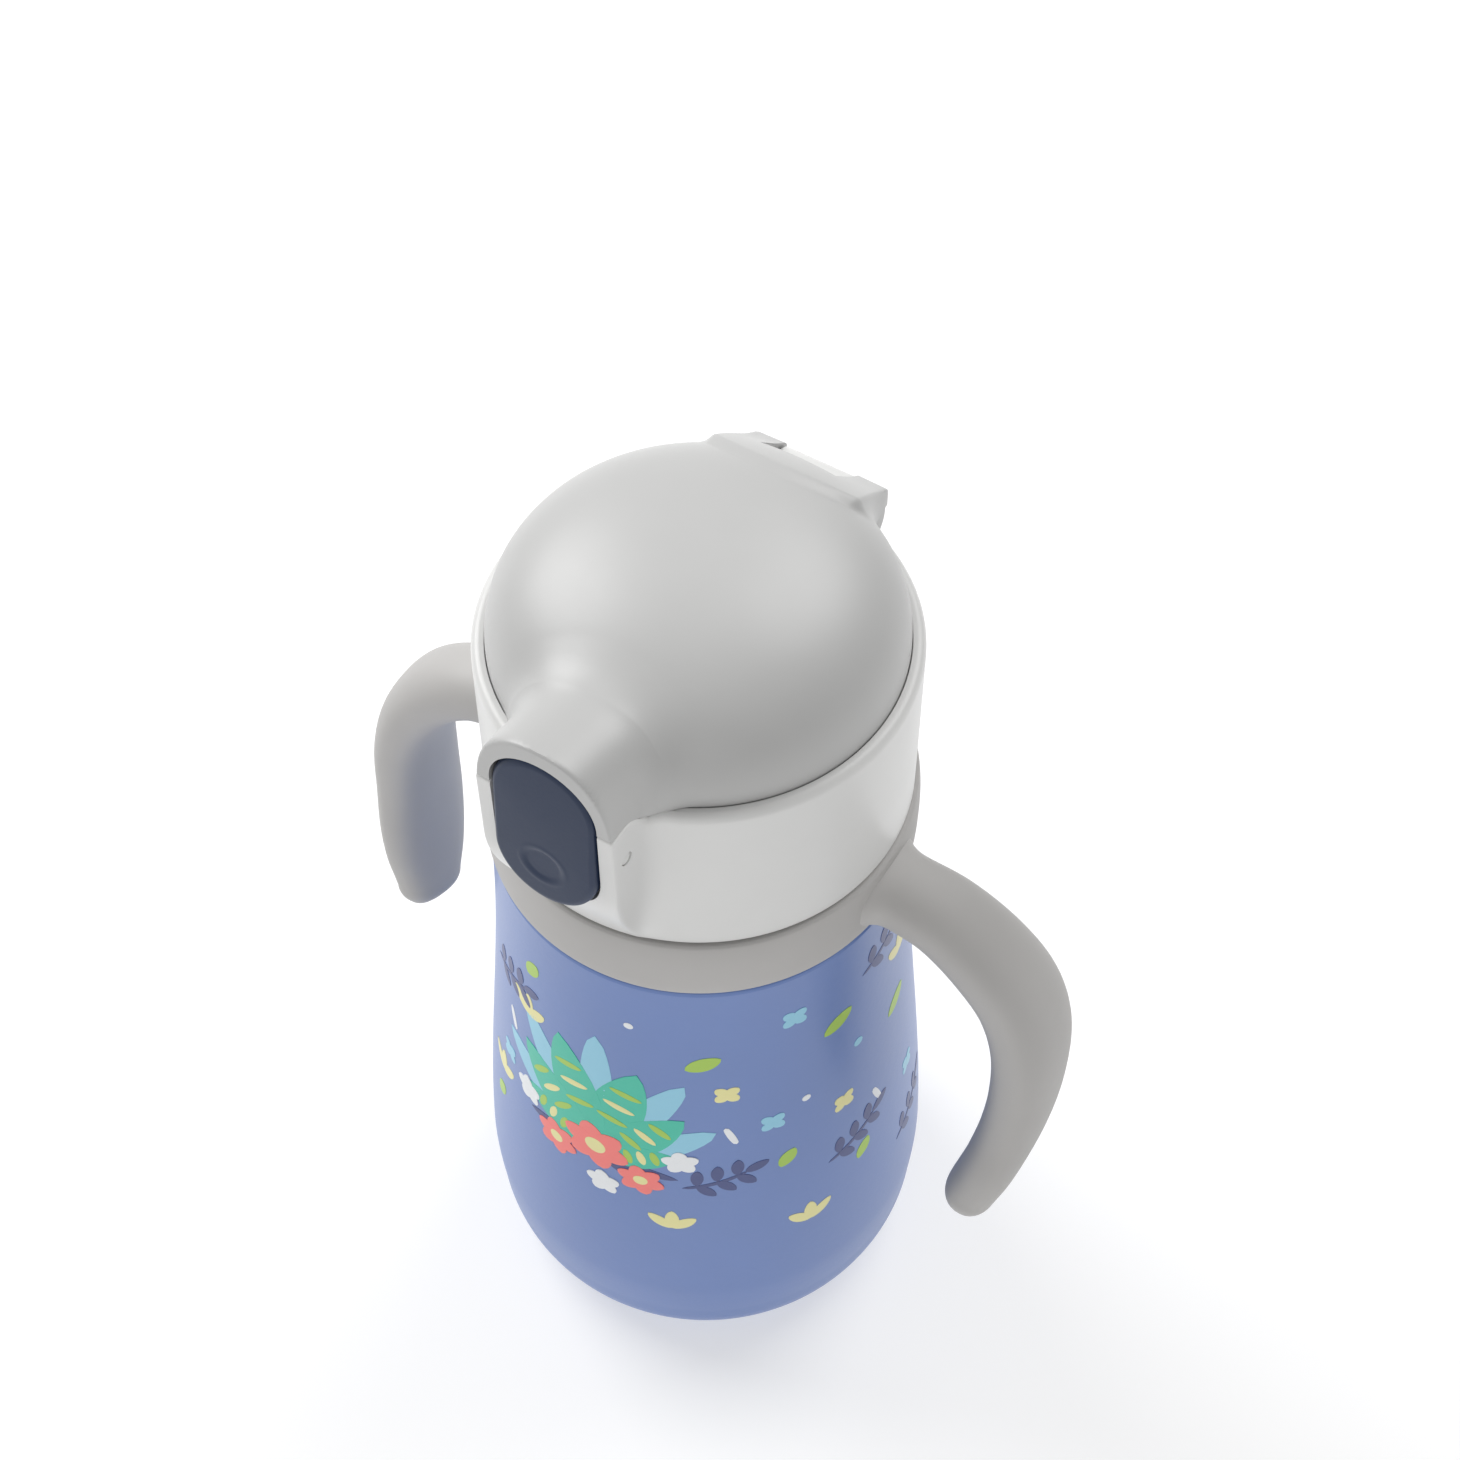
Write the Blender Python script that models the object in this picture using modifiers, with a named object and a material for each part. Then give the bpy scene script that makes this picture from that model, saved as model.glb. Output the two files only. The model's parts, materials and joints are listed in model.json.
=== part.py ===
"""Vacuum-insulated kids' drinking bottle with a flip-up lid and two handles.

Frame: metres, +Z up, origin at the centre of the base on the floor.
The release button faces -Y, the cover's hinge is at +Y, the handles are at +X and -X.
Each sub-part is one object, and its name is its node's name.
"""
import math

import bmesh
import bpy
import numpy as np
from mathutils import Vector

MM = 0.001

# ---- driving dimensions, millimetres ----
RIM_Z = 165.0              # top of the collar's rim above the floor
COLLAR_R = 32.5            # outside of the collar at its rim
COLLAR_FOOT_Z = 133.2      # bottom edge of the collar
BODY_R = 40.0              # widest radius of the flask
WIDEST_Z = 24.0            # height of that widest level
SHOULDER_R = 33.3          # radius of the flask's wall under its shoulder
SHOULDER_Z = 119.4         # flat shoulder that the handle ring sits on
NECK_R = 27.0              # outside of the flask's neck
MOUTH_Z = 147.0            # top of the flask's lip
COVER_RISE = 18.3          # top of the cover above the rim
FACE_Y = -39.2             # flat front of the boss and of the hood
FACE_HALF = 11.1           # half width of that front
SPLIT_RISE = 4.1           # the hood meets the boss this far above the rim
BUTTON_HALF = 8.6          # half width of the release button
BUTTON_LEAN = 0.068        # the button stands out more towards its foot, per unit of height

# ---- walls and clearances, millimetres ----
GAP = 0.3                  # between pieces that touch
RUN = 0.1                  # radial clearance of a turning joint
STEEL = 0.8                # wall of the flask's two shells
SHELL = 2.0                # wall of the moulded pieces
VACUUM = 2.6               # space between the flask's two shells

# ---- joint axes, millimetres ----
HINGE_Y = 29.8
HINGE_Z = 164.0
HINGE_R = 5.3              # rounded barrel of the hinge
HINGE_PIN_R = 1.25
KNUCKLE_HALF = 6.0
LUG_OUT = 12.0
ROCKER_Y = -36.2
ROCKER_Z = 161.8
ROCKER_PIN_R = 1.0

STEPS = 36                 # facets round the large turned pieces
SMALL_STEPS = 20           # facets round the small turned pieces

PARTS = "kids_water_bottle"
CUTTERS = "cutters"


def clear_scene():
    for obj in list(bpy.data.objects):
        bpy.data.objects.remove(obj, do_unlink=True)


def collection(name):
    group = bpy.data.collections.get(name)
    if group is None:
        group = bpy.data.collections.new(name)
        bpy.context.scene.collection.children.link(group)
    return group


def material(name, colour, roughness, metallic=0.0):
    mat = bpy.data.materials.new(name)
    mat.use_nodes = True
    shader = mat.node_tree.nodes["Principled BSDF"]
    shader.inputs["Base Color"].default_value = (*colour, 1.0)
    shader.inputs["Roughness"].default_value = roughness
    shader.inputs["Metallic"].default_value = metallic
    mat.diffuse_color = (*colour, 1.0)
    return mat


WHITE = ((0.86, 0.86, 0.85), 0.35)
COOL_GREY = ((0.58, 0.58, 0.59), 0.45)
WARM_GREY = ((0.50, 0.49, 0.48), 0.60)
NAVY = ((0.055, 0.08, 0.13), 0.45)
BLUE = ((0.19, 0.27, 0.55), 0.45)
RAW_STEEL = ((0.62, 0.62, 0.62), 0.30, 1.0)
SPRING_STEEL = ((0.55, 0.55, 0.55), 0.25, 1.0)
CLEAR_SILICONE = ((0.80, 0.82, 0.82), 0.55)
NATURAL_PP = ((0.78, 0.79, 0.78), 0.45)


# ---- shape helpers ----

def add_object(name, data, group=PARTS):
    obj = bpy.data.objects.new(name, data)
    collection(group).objects.link(obj)
    return obj


def finish(obj, look):
    """Give a part its own material and smooth shading with sharp edges."""
    obj.data.materials.clear()
    obj.data.materials.append(material(obj.name, *look))
    return obj


def helper(obj):
    """Mark an operand of a Boolean, which isn't a part."""
    obj.hide_render = True
    obj.display_type = "WIRE"
    return obj


def turned(name, profile, steps=STEPS, group=PARTS, closed=True):
    """A solid of revolution about Z. The (radius, height) profile runs down its outer side."""
    mesh = bpy.data.meshes.new(name)
    points = [(r * MM, 0.0, z * MM) for r, z in profile]
    edges = [(i, i + 1) for i in range(len(points) - 1)]
    if closed:
        edges.append((len(points) - 1, 0))
    mesh.from_pydata(points, edges, [])
    obj = add_object(name, mesh, group)
    screw = obj.modifiers.new("Screw", "SCREW")
    screw.steps = steps
    screw.render_steps = steps
    screw.use_merge_vertices = True
    screw.merge_threshold = 0.00001
    return obj


def extruded(name, outline, depth, group=CUTTERS):
    """A flat outline in X and Z, given thickness from depth[0] to depth[1] along Y."""
    curve = bpy.data.curves.new(name, "CURVE")
    curve.dimensions = "2D"
    curve.fill_mode = "BOTH"
    curve.extrude = abs(depth[1] - depth[0]) / 2 * MM
    spline = curve.splines.new("POLY")
    spline.points.add(len(outline) - 1)
    for point, (x, z) in zip(spline.points, outline):
        point.co = (x * MM, z * MM, 0.0, 1.0)
    spline.use_cyclic_u = True
    source = add_object(name + "_outline", curve, CUTTERS)
    bpy.context.view_layer.update()
    graph = bpy.context.evaluated_depsgraph_get()
    mesh = bpy.data.meshes.new_from_object(source.evaluated_get(graph))
    bpy.data.objects.remove(source, do_unlink=True)
    work = bmesh.new()
    work.from_mesh(mesh)
    bmesh.ops.remove_doubles(work, verts=work.verts, dist=1e-6)
    middle = (depth[0] + depth[1]) / 2 * MM
    for vert in work.verts:
        vert.co = Vector((vert.co.x, middle - vert.co.z, vert.co.y))
    bmesh.ops.recalc_face_normals(work, faces=work.faces)
    work.to_mesh(mesh)
    work.free()
    return add_object(name, mesh, group)


def side_extruded(name, outline, half, group=CUTTERS):
    """A flat outline in Y and Z, given thickness from -half to +half along X."""
    obj = extruded(name, outline, (-half, half), group)
    for vert in obj.data.vertices:
        x, y, z = vert.co
        vert.co = (-y, x, z)
    return obj


def cylinder(name, radius, start, end, steps=SMALL_STEPS, group=CUTTERS):
    """A round bar between two points."""
    start = Vector(start) * MM
    end = Vector(end) * MM
    mesh = bpy.data.meshes.new(name)
    work = bmesh.new()
    turn = (end - start).to_track_quat("Z", "Y").to_matrix().to_4x4()
    turn.translation = (start + end) / 2
    bmesh.ops.create_cone(work, cap_ends=True, segments=steps, radius1=radius * MM,
                          radius2=radius * MM, depth=(end - start).length, matrix=turn)
    work.to_mesh(mesh)
    work.free()
    return add_object(name, mesh, group)


def box(name, low, high, group=CUTTERS):
    """A rectangular block between two corners."""
    mesh = bpy.data.meshes.new(name)
    work = bmesh.new()
    bmesh.ops.create_cube(work, size=1.0)
    for vert in work.verts:
        vert.co = Vector([(a + b) / 2 + (b - a) * c
                          for a, b, c in zip(low, high, vert.co)]) * MM
    work.to_mesh(mesh)
    work.free()
    return add_object(name, mesh, group)


def coil(name, centre, axis, radius, wire, length, turns, group=PARTS, per_turn=12):
    """A helix of round wire about a centre, along axis X, Y or Z."""
    curve = bpy.data.curves.new(name, "CURVE")
    curve.dimensions = "3D"
    curve.bevel_depth = wire * MM
    curve.bevel_resolution = 0
    curve.use_fill_caps = True
    spline = curve.splines.new("POLY")
    count = int(turns * per_turn) + 1
    spline.points.add(count - 1)
    for i, point in enumerate(spline.points):
        t = i / (count - 1)
        angle = 2 * math.pi * turns * t
        along = (t - 0.5) * length
        across = (radius * math.cos(angle), radius * math.sin(angle))
        offset = list(across)
        offset.insert("XYZ".index(axis), along)
        place = [(c + o) * MM for c, o in zip(centre, offset)]
        point.co = (*place, 1.0)
    return add_object(name, curve, group)


def as_mesh(obj, name, group):
    """Turn a curve object into a mesh object whose caps are welded."""
    bpy.context.view_layer.update()
    graph = bpy.context.evaluated_depsgraph_get()
    mesh = bpy.data.meshes.new_from_object(obj.evaluated_get(graph))
    placed = obj.matrix_world.copy()
    bpy.data.objects.remove(obj, do_unlink=True)
    work = bmesh.new()
    work.from_mesh(mesh)
    bmesh.ops.remove_doubles(work, verts=work.verts, dist=1e-7)
    work.to_mesh(mesh)
    work.free()
    new = add_object(name, mesh, group)
    new.matrix_world = placed
    return new


def combine(obj, operand, operation):
    """Add a live Boolean whose operand is marked as a helper."""
    mod = obj.modifiers.new(operand.name, "BOOLEAN")
    mod.operation = operation
    mod.object = helper(operand)
    mod.solver = "EXACT"
    return mod


def cut(obj, operand):
    return combine(obj, operand, "DIFFERENCE")


def join(obj, operand):
    return combine(obj, operand, "UNION")


def arc(centre, radii, start, end, count):
    """Points on an ellipse's arc, both ends included; angles in degrees from +X or +Y."""
    angles = np.radians(np.linspace(start, end, count))
    return [(centre[0] + radii[0] * math.cos(a), centre[1] + radii[1] * math.sin(a))
            for a in angles]


# ---- flask ----

def body_radius(z):
    """Outside radius of the flask's wall at a height.

    From the shoulder down to the widest level it swells by a blend of a smooth step and a
    power of the depth; below that level it draws in again by the square of the distance.
    """
    t = min((SHOULDER_Z - z) / (SHOULDER_Z - WIDEST_Z), 1.0)
    swell = 0.6 * (3 * t ** 2 - 2 * t ** 3) + 0.4 * t ** 1.5
    below = max(WIDEST_Z - z, 0.0)
    return SHOULDER_R + (BODY_R - SHOULDER_R) * swell - 0.0045 * below ** 2


def wall_heights():
    return (SHOULDER_Z - 0.4, 108.0, 94.0, 78.0, 62.0, 44.0, WIDEST_Z, 14.0)


def smooth_wall(inset):
    """The flask's side from the shoulder down, moved inwards by inset."""
    return [(body_radius(z) - inset, z) for z in wall_heights()]


def outer_shell():
    """Painted steel outer wall with its shoulder, threaded neck and rolled base corner."""
    corner_r = 13.0
    flat_r = 26.6
    outside = [(NECK_R, MOUTH_Z - 1.2), (NECK_R, 121.4), (NECK_R + 2.0, SHOULDER_Z)]
    outside += [(32.6, SHOULDER_Z)] + smooth_wall(0.0)
    outside += arc((flat_r, corner_r), (body_radius(14.0) - flat_r, corner_r), -8, -90, 6)
    inside = arc((flat_r, corner_r), (body_radius(14.0) - flat_r - STEEL, corner_r - STEEL), -90, -8, 6)
    inside += list(reversed(smooth_wall(STEEL)))[:-1]
    inside += [(32.2, SHOULDER_Z - STEEL), (NECK_R + 1.4, SHOULDER_Z - STEEL)]
    inside += [(NECK_R - STEEL, 121.0), (NECK_R - STEEL, MOUTH_Z - 1.2)]
    obj = turned("outer_shell", outside + inside)
    join(obj, neck_thread())
    return finish(obj, BLUE)


def neck_thread():
    """One and a half turns of rolled thread standing out of the neck."""
    turns = 1.5
    pitch = 4.5
    crest = 0.85
    middle = (0.0, 0.0, SHOULDER_Z + 19.0)
    curve = coil("neck_thread_path", middle, "Z", NECK_R, crest, pitch * turns, turns, CUTTERS, 36)
    return as_mesh(curve, "neck_thread", CUTTERS)


def inner_liner():
    """Plain steel liner that holds the drink, with a lip that covers the neck's edge."""
    inset = STEEL + VACUUM
    bore = NECK_R - STEEL - GAP
    outside = [(NECK_R, MOUTH_Z), (NECK_R, MOUTH_Z - 0.9), (bore, MOUTH_Z - 0.9), (bore, 118.0)]
    outside += [(bore + 1.0, 115.5)] + smooth_wall(inset)[2:-1]
    outside += arc((24.0, 18.0), (body_radius(24.0) - inset - 24.0, 12.0), -10, -90, 5)
    outside += [(0.0, 6.0)]
    inside = [(0.0, 6.0 + STEEL)]
    inside += arc((24.0, 18.0), (body_radius(24.0) - inset - 24.0 - STEEL, 12.0 - STEEL), -90, -10, 5)
    inside += list(reversed(smooth_wall(inset + STEEL)[2:-1]))
    inside += [(bore + 1.0 - STEEL, 115.0), (bore - STEEL, 118.0), (bore - STEEL, MOUTH_Z)]
    return finish(turned("inner_liner", inside + outside, closed=False), RAW_STEEL)


def base_cup():
    """Structural steel bottom of the outer shell, with the pumping dimple in its middle."""
    profile = [(2.2, 3.1), (26.0, 3.1), (26.0, 2.3), (2.2, 2.3)]
    return finish(turned("base_cup", profile), RAW_STEEL)


def vacuum_plug():
    """Bead of solder glass that closes the pumping dimple."""
    profile = [(0.0, 3.3), (1.3, 3.1), (1.9, 2.7), (1.3, 2.4), (0.0, 2.2)]
    return finish(turned("vacuum_plug", profile, SMALL_STEPS, closed=False), RAW_STEEL)


def getter():
    """Gas-absorbing pill clipped on the bottom in the vacuum space."""
    low = 3.1 + GAP
    obj = cylinder("getter", 3.6, (13.0, 0.0, low), (13.0, 0.0, low + 1.8), group=PARTS)
    return finish(obj, RAW_STEEL)


def base_plate():
    """Visible steel disc pressed into the base, flush with the foot that the bottle stands on."""
    profile = [(0.0, 1.9), (25.6, 1.9), (26.2, 1.5), (26.2, 0.4), (25.6, 0.0), (0.0, 0.0)]
    return finish(turned("base_plate", profile, closed=False), RAW_STEEL)


# ---- handles ----

def handle_path():
    """Centre line of the +X handle: (x, y, z, half width, half thickness)."""
    rise = RIM_Z
    return [
        (31.0, 0.0, rise - 39.4, 6.2, 5.4),
        (37.0, 0.3, rise - 40.2, 6.1, 5.5),
        (43.5, 0.9, rise - 42.3, 6.6, 5.6),
        (50.3, 1.5, rise - 48.0, 7.6, 5.6),
        (55.8, 2.3, rise - 56.8, 8.6, 5.5),
        (59.0, 2.6, rise - 67.5, 9.3, 5.4),
        (60.0, 2.0, rise - 79.5, 9.6, 5.2),
        (59.9, 0.0, rise - 90.0, 9.0, 5.0),
        (59.3, -3.0, rise - 99.0, 7.8, 4.7),
        (58.2, -5.2, rise - 106.0, 6.4, 4.4),
    ]


def smooth_rows(rows, per_span):
    """Catmull-Rom points through rows of numbers."""
    data = np.array(rows, dtype=float)
    padded = np.vstack([2 * data[0] - data[1], data, 2 * data[-1] - data[-2]])
    t = np.arange(per_span)[:, None] / per_span
    spans = []
    for i in range(1, len(padded) - 2):
        a, b, c, d = padded[i - 1:i + 3]
        spans.append(0.5 * (2 * b + (c - a) * t + (2 * a - 5 * b + 4 * c - d) * t ** 2
                            + (3 * b - 3 * c + d - a) * t ** 3))
    spans.append(data[-1:])
    return np.vstack(spans)


def rounded_end(rows, count):
    """Extra rows beyond the last, shrinking to a blunt rounded tip."""
    tip = rows[-1]
    direction = rows[-1, :3] - rows[-2, :3]
    direction /= np.linalg.norm(direction)
    angles = np.radians(np.linspace(0, 78, count + 1))[1:]
    reach = tip[4]
    extra = [np.concatenate([tip[:3] + direction * reach * math.sin(a), tip[3:] - tip[4] * (1 - math.cos(a)) * 0.95])
             for a in angles]
    return np.vstack([rows, extra])


def handle_loft(name, per_span=2, sides=12):
    """A loft of oval sections along the handle's centre line, closed at both ends."""
    rows = rounded_end(smooth_rows(handle_path(), per_span), 4)
    angles = np.linspace(0, 2 * math.pi, sides, endpoint=False)
    centres = rows[:, :3]
    tangent = np.gradient(centres, axis=0)
    tangent /= np.linalg.norm(tangent, axis=1)[:, None]
    across = np.array([0.0, 1.0, 0.0]) - tangent * tangent[:, 1:2]
    across /= np.linalg.norm(across, axis=1)[:, None]
    normal = np.cross(across, tangent)
    squarer = 0.85
    u = np.sign(np.cos(angles)) * np.abs(np.cos(angles)) ** squarer
    v = np.sign(np.sin(angles)) * np.abs(np.sin(angles)) ** squarer
    ring = (centres[:, None] + across[:, None] * (rows[:, 3:4] * u)[:, :, None]
            + normal[:, None] * (rows[:, 4:5] * v)[:, :, None])
    verts = (ring.reshape(-1, 3) * MM).tolist()
    faces = []
    for i in range(len(rows) - 1):
        for j in range(sides):
            k = (j + 1) % sides
            faces.append((i * sides + j, i * sides + k, (i + 1) * sides + k, (i + 1) * sides + j))
    faces.append(tuple(range(sides)))
    faces.append(tuple((len(rows) - 1) * sides + j for j in range(sides)))
    mesh = bpy.data.meshes.new(name)
    mesh.from_pydata(verts, [], faces)
    work = bmesh.new()
    work.from_mesh(mesh)
    bmesh.ops.recalc_face_normals(work, faces=work.faces)
    work.to_mesh(mesh)
    work.free()
    return add_object(name, mesh, CUTTERS)


def handle_ring():
    """Soft grey moulding: a crowned ring round the neck with one handle on each side."""
    low = SHOULDER_Z + GAP
    high = COLLAR_FOOT_Z - GAP
    profile = [(29.2, high), (33.0, high), (33.5, high - 0.6), (33.9, high - 5.0), (33.9, low + 4.0),
               (33.6, low + 0.7), (33.1, low), (29.2, low)]
    obj = turned("handle_ring", profile)
    handle = handle_loft("handle_half")
    mirror = handle.modifiers.new("Mirror", "MIRROR")
    mirror.use_axis = (True, False, False)
    mirror.merge_threshold = 0.0001
    join(obj, handle)
    return finish(obj, WARM_GREY)


# ---- lid ----

def boss_side():
    """Upper edge of the boss in (y, z), from its flat face back to the collar's rim."""
    top = RIM_Z + SPLIT_RISE
    return [(FACE_Y, top), (-36.6, top), (-34.2, top - 1.4), (-32.6, RIM_Z + 0.6), (-31.2, RIM_Z)]


def boss_plan(flatness, count=4):
    """Plan outline of the boss: a flat front with round corners, or the collar's own round."""
    corner = 1.6
    flat = [(FACE_HALF, -30.6), (FACE_HALF, FACE_Y + corner)]
    flat += arc((FACE_HALF - corner, FACE_Y + corner), (corner, corner), 0, -90, count)[1:]
    flat += [(x, FACE_Y) for x in (6.0, 3.0, 0.0)]
    half = []
    for x, y in flat:
        on_round = -math.sqrt((COLLAR_R + 0.2) ** 2 - x * x)
        half.append((x, on_round + (min(y, on_round) - on_round) * flatness))
    front = half + [(-x, y) for x, y in reversed(half[:-1])]
    back = [(31.6 * math.sin(a), -31.6 * math.cos(a)) for a in np.linspace(-0.34, 0.34, 5)]
    return front + back


def boss_flatness(z):
    """How far the boss stands out at a height: not at all at the foot, fully above the chin."""
    t = min(max((z - COLLAR_FOOT_Z) / 22.0, 0.0), 1.0)
    return math.sin(t * math.pi / 2) ** 1.1


def boss_loft(name):
    """Loft of plan outlines from the collar's foot up to above the split line."""
    heights = [COLLAR_FOOT_Z + d for d in (0.3, 3.0, 6.5, 10.5, 15.0, 22.0, 40.0)]
    loops = [[(x, y, z) for x, y in boss_plan(boss_flatness(z))] for z in heights]
    count = len(loops[0])
    verts = [[c * MM for c in point] for loop in loops for point in loop]
    faces = [(i * count + j, i * count + (j + 1) % count, (i + 1) * count + (j + 1) % count, (i + 1) * count + j)
             for i in range(len(loops) - 1) for j in range(count)]
    faces.append(tuple(range(count)))
    faces.append(tuple(range((len(loops) - 1) * count, len(loops) * count)))
    mesh = bpy.data.meshes.new(name)
    mesh.from_pydata(verts, [], faces)
    work = bmesh.new()
    work.from_mesh(mesh)
    bmesh.ops.triangulate(work, faces=work.faces)
    bmesh.ops.recalc_face_normals(work, faces=work.faces)
    work.to_mesh(mesh)
    work.free()
    return add_object(name, mesh, CUTTERS)


def above_boss(name, gap):
    """A block over the boss whose underside is the boss's upper edge, raised by a gap."""
    edge = [(y, z + gap) for y, z in boss_side()]
    outline = [(-26.0, 190.0), (-46.0, 190.0), (-46.0, edge[0][1])] + edge[1:]
    return side_extruded(name, outline + [(-26.0, RIM_Z + gap)], 20.0)


def button_outline(grow=0.0, count=9):
    """Front outline of the button in (x, z): straight sides with an arch at each end."""
    half = BUTTON_HALF + grow
    upper = arc((0.0, RIM_Z + 4.8), (half, 8.5 + grow), 0, 180, count)
    lower = arc((0.0, RIM_Z - 7.5), (half, 9.4 + grow), 180, 360, count)
    return upper + lower


def collar_profile():
    """Section of the collar in (radius, height): outer wall, rim, deck and skirt."""
    rim = [(30.7, RIM_Z - 1.0), (31.0, RIM_Z - 0.3), (31.5, RIM_Z), (31.9, RIM_Z - 0.1),
           (32.4, RIM_Z - 0.6), (COLLAR_R, RIM_Z - 1.6)]
    wall = [(32.8, COLLAR_FOOT_Z + 0.6), (32.5, COLLAR_FOOT_Z), (30.8, COLLAR_FOOT_Z)]
    deck = [(30.8, 152.5), (8.6, 152.5), (8.6, 154.5), (29.7, 154.5), (30.7, 155.5)]
    return rim + wall + deck


def lid_collar():
    """White outer moulding of the lid: wall, deck, front boss and the hinge's knuckle."""
    obj = turned("lid_collar", collar_profile())
    boss = boss_loft("boss")
    cut(boss, above_boss("boss_top", 0.0))
    join(obj, boss)
    web = box("knuckle_web", (-KNUCKLE_HALF, HINGE_Y - 3.0, 154.0), (KNUCKLE_HALF, HINGE_Y + 3.4, HINGE_Z))
    notch = box("hinge_notch", (-LUG_OUT - 0.5, HINGE_Y - HINGE_R - 0.5, HINGE_Z - HINGE_R - 0.5),
                (LUG_OUT + 0.5, 40.0, 172.0))
    cut(obj, notch)
    join(obj, web)
    join(obj, cylinder("knuckle", HINGE_R - 0.3, (-KNUCKLE_HALF, HINGE_Y, HINGE_Z),
                       (KNUCKLE_HALF, HINGE_Y, HINGE_Z), 28))
    cut(obj, cylinder("knuckle_bore", HINGE_PIN_R + RUN, (-9, HINGE_Y, HINGE_Z), (9, HINGE_Y, HINGE_Z)))
    cut(obj, extruded("button_pocket", button_outline(0.35), (-45.0, -32.8)))
    cut(obj, cylinder("rocker_bore", ROCKER_PIN_R + 0.05, (-14, ROCKER_Y, ROCKER_Z), (14, ROCKER_Y, ROCKER_Z), 16))
    cut(obj, cylinder("vent_hole", 1.4, (13, -8, 150), (13, -8, 157), 16))
    return finish(obj, WHITE)


def soften(obj, width):
    """Round the vertical front edges of a block."""
    mod = obj.modifiers.new("Bevel", "BEVEL")
    mod.width = width * MM
    mod.segments = 3
    mod.limit_method = "ANGLE"
    mod.angle_limit = math.radians(60)
    return mod


def screw_insert():
    """Threaded inner cup of the lid, snapped in under the collar's deck."""
    profile = [(30.5, 149.0), (30.5, 134.2), (28.9, 134.2), (28.9, 149.5), (5.2, 149.5), (5.2, 152.2),
               (28.6, 152.2), (30.5, 150.4)]
    obj = turned("screw_insert", profile)
    cut(obj, cylinder("valve_hole", 2.0, (13, -8, 147), (13, -8, 154), 16))
    return finish(obj, NATURAL_PP)


def mouth_gasket():
    """Silicone ring that seals the lid on the flask's lip."""
    profile = [(28.0, 149.2), (28.4, 148.6), (27.8, 147.3), (23.4, 147.3), (22.8, 148.2), (23.4, 149.2)]
    return finish(turned("mouth_gasket", profile), CLEAR_SILICONE)


def spout():
    """Soft mouthpiece that stands up under the cover."""
    profile = [(2.2, 176.0), (5.0, 176.0), (5.9, 175.2), (6.1, 173.6), (5.6, 171.2), (5.3, 166.0), (5.9, 158.0),
               (6.8, 155.2), (8.2, 154.4), (8.2, 152.5), (2.2, 152.5)]
    return finish(turned("spout", profile, 28), CLEAR_SILICONE)


def straw_adapter():
    """Rigid nipple that clamps the mouthpiece from below and carries the straw."""
    profile = [(4.8, 152.2), (4.8, 149.2), (8.0, 149.2), (8.0, 147.6), (2.4, 147.6), (2.1, 136.0), (1.4, 136.0),
               (1.4, 152.2)]
    return finish(turned("straw_adapter", profile, 24), NATURAL_PP)


def straw():
    """Drinking tube from the adapter down to just above the liner's floor."""
    profile = [(3.6, 147.3), (3.6, 10.0), (2.6, 10.0), (2.6, 147.3)]
    return finish(turned("straw", profile, 24), CLEAR_SILICONE)


def vent_valve():
    """Small mushroom valve that lets air in as the drink goes out."""
    profile = [(0.0, 152.2), (1.7, 152.2), (1.7, 149.2), (3.4, 148.9), (3.0, 148.1), (0.0, 147.9)]
    obj = turned("vent_valve", profile, 16, closed=False)
    obj.location = (13 * MM, -8 * MM, 0.0)
    return finish(obj, CLEAR_SILICONE)


def hinge_pin():
    """Steel pin through the knuckle and both lugs."""
    half = LUG_OUT - 1.0
    obj = cylinder("hinge_pin", HINGE_PIN_R, (-half, HINGE_Y, HINGE_Z), (half, HINGE_Y, HINGE_Z), group=PARTS)
    return finish(obj, RAW_STEEL)


def hinge_spring():
    """Torsion spring round the pin, housed in the -X lug, which flips the cover open."""
    obj = coil("hinge_spring", (-7.9, HINGE_Y, HINGE_Z), "X", 2.1, 0.35, 2.0, 2.25)
    return finish(obj, SPRING_STEEL)


def button_pin():
    """Pin that the release button rocks on, with its ends showing in the boss's sides."""
    half = FACE_HALF - 0.1
    obj = cylinder("button_pin", ROCKER_PIN_R, (-half, ROCKER_Y, ROCKER_Z), (half, ROCKER_Y, ROCKER_Z), 16, PARTS)
    return finish(obj, NATURAL_PP)


def button_spring():
    """Small coil spring behind the button's lower end, as short as the pressed button leaves it."""
    obj = coil("button_spring", (0.0, -35.0, 151.0), "Y", 1.8, 0.25, 3.3, 3.0)
    return finish(obj, SPRING_STEEL)


# ---- moving pieces ----

def axis_empty(name, y, z):
    """An empty on a joint's axis, the parent of what turns about it."""
    obj = add_object(name, None)
    obj.empty_display_size = 0.01
    obj.location = (0.0, y * MM, z * MM)
    return obj


def ride_axis(obj, empty):
    bpy.context.view_layer.update()
    obj.parent = empty
    obj.matrix_parent_inverse = empty.matrix_world.inverted()


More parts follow.
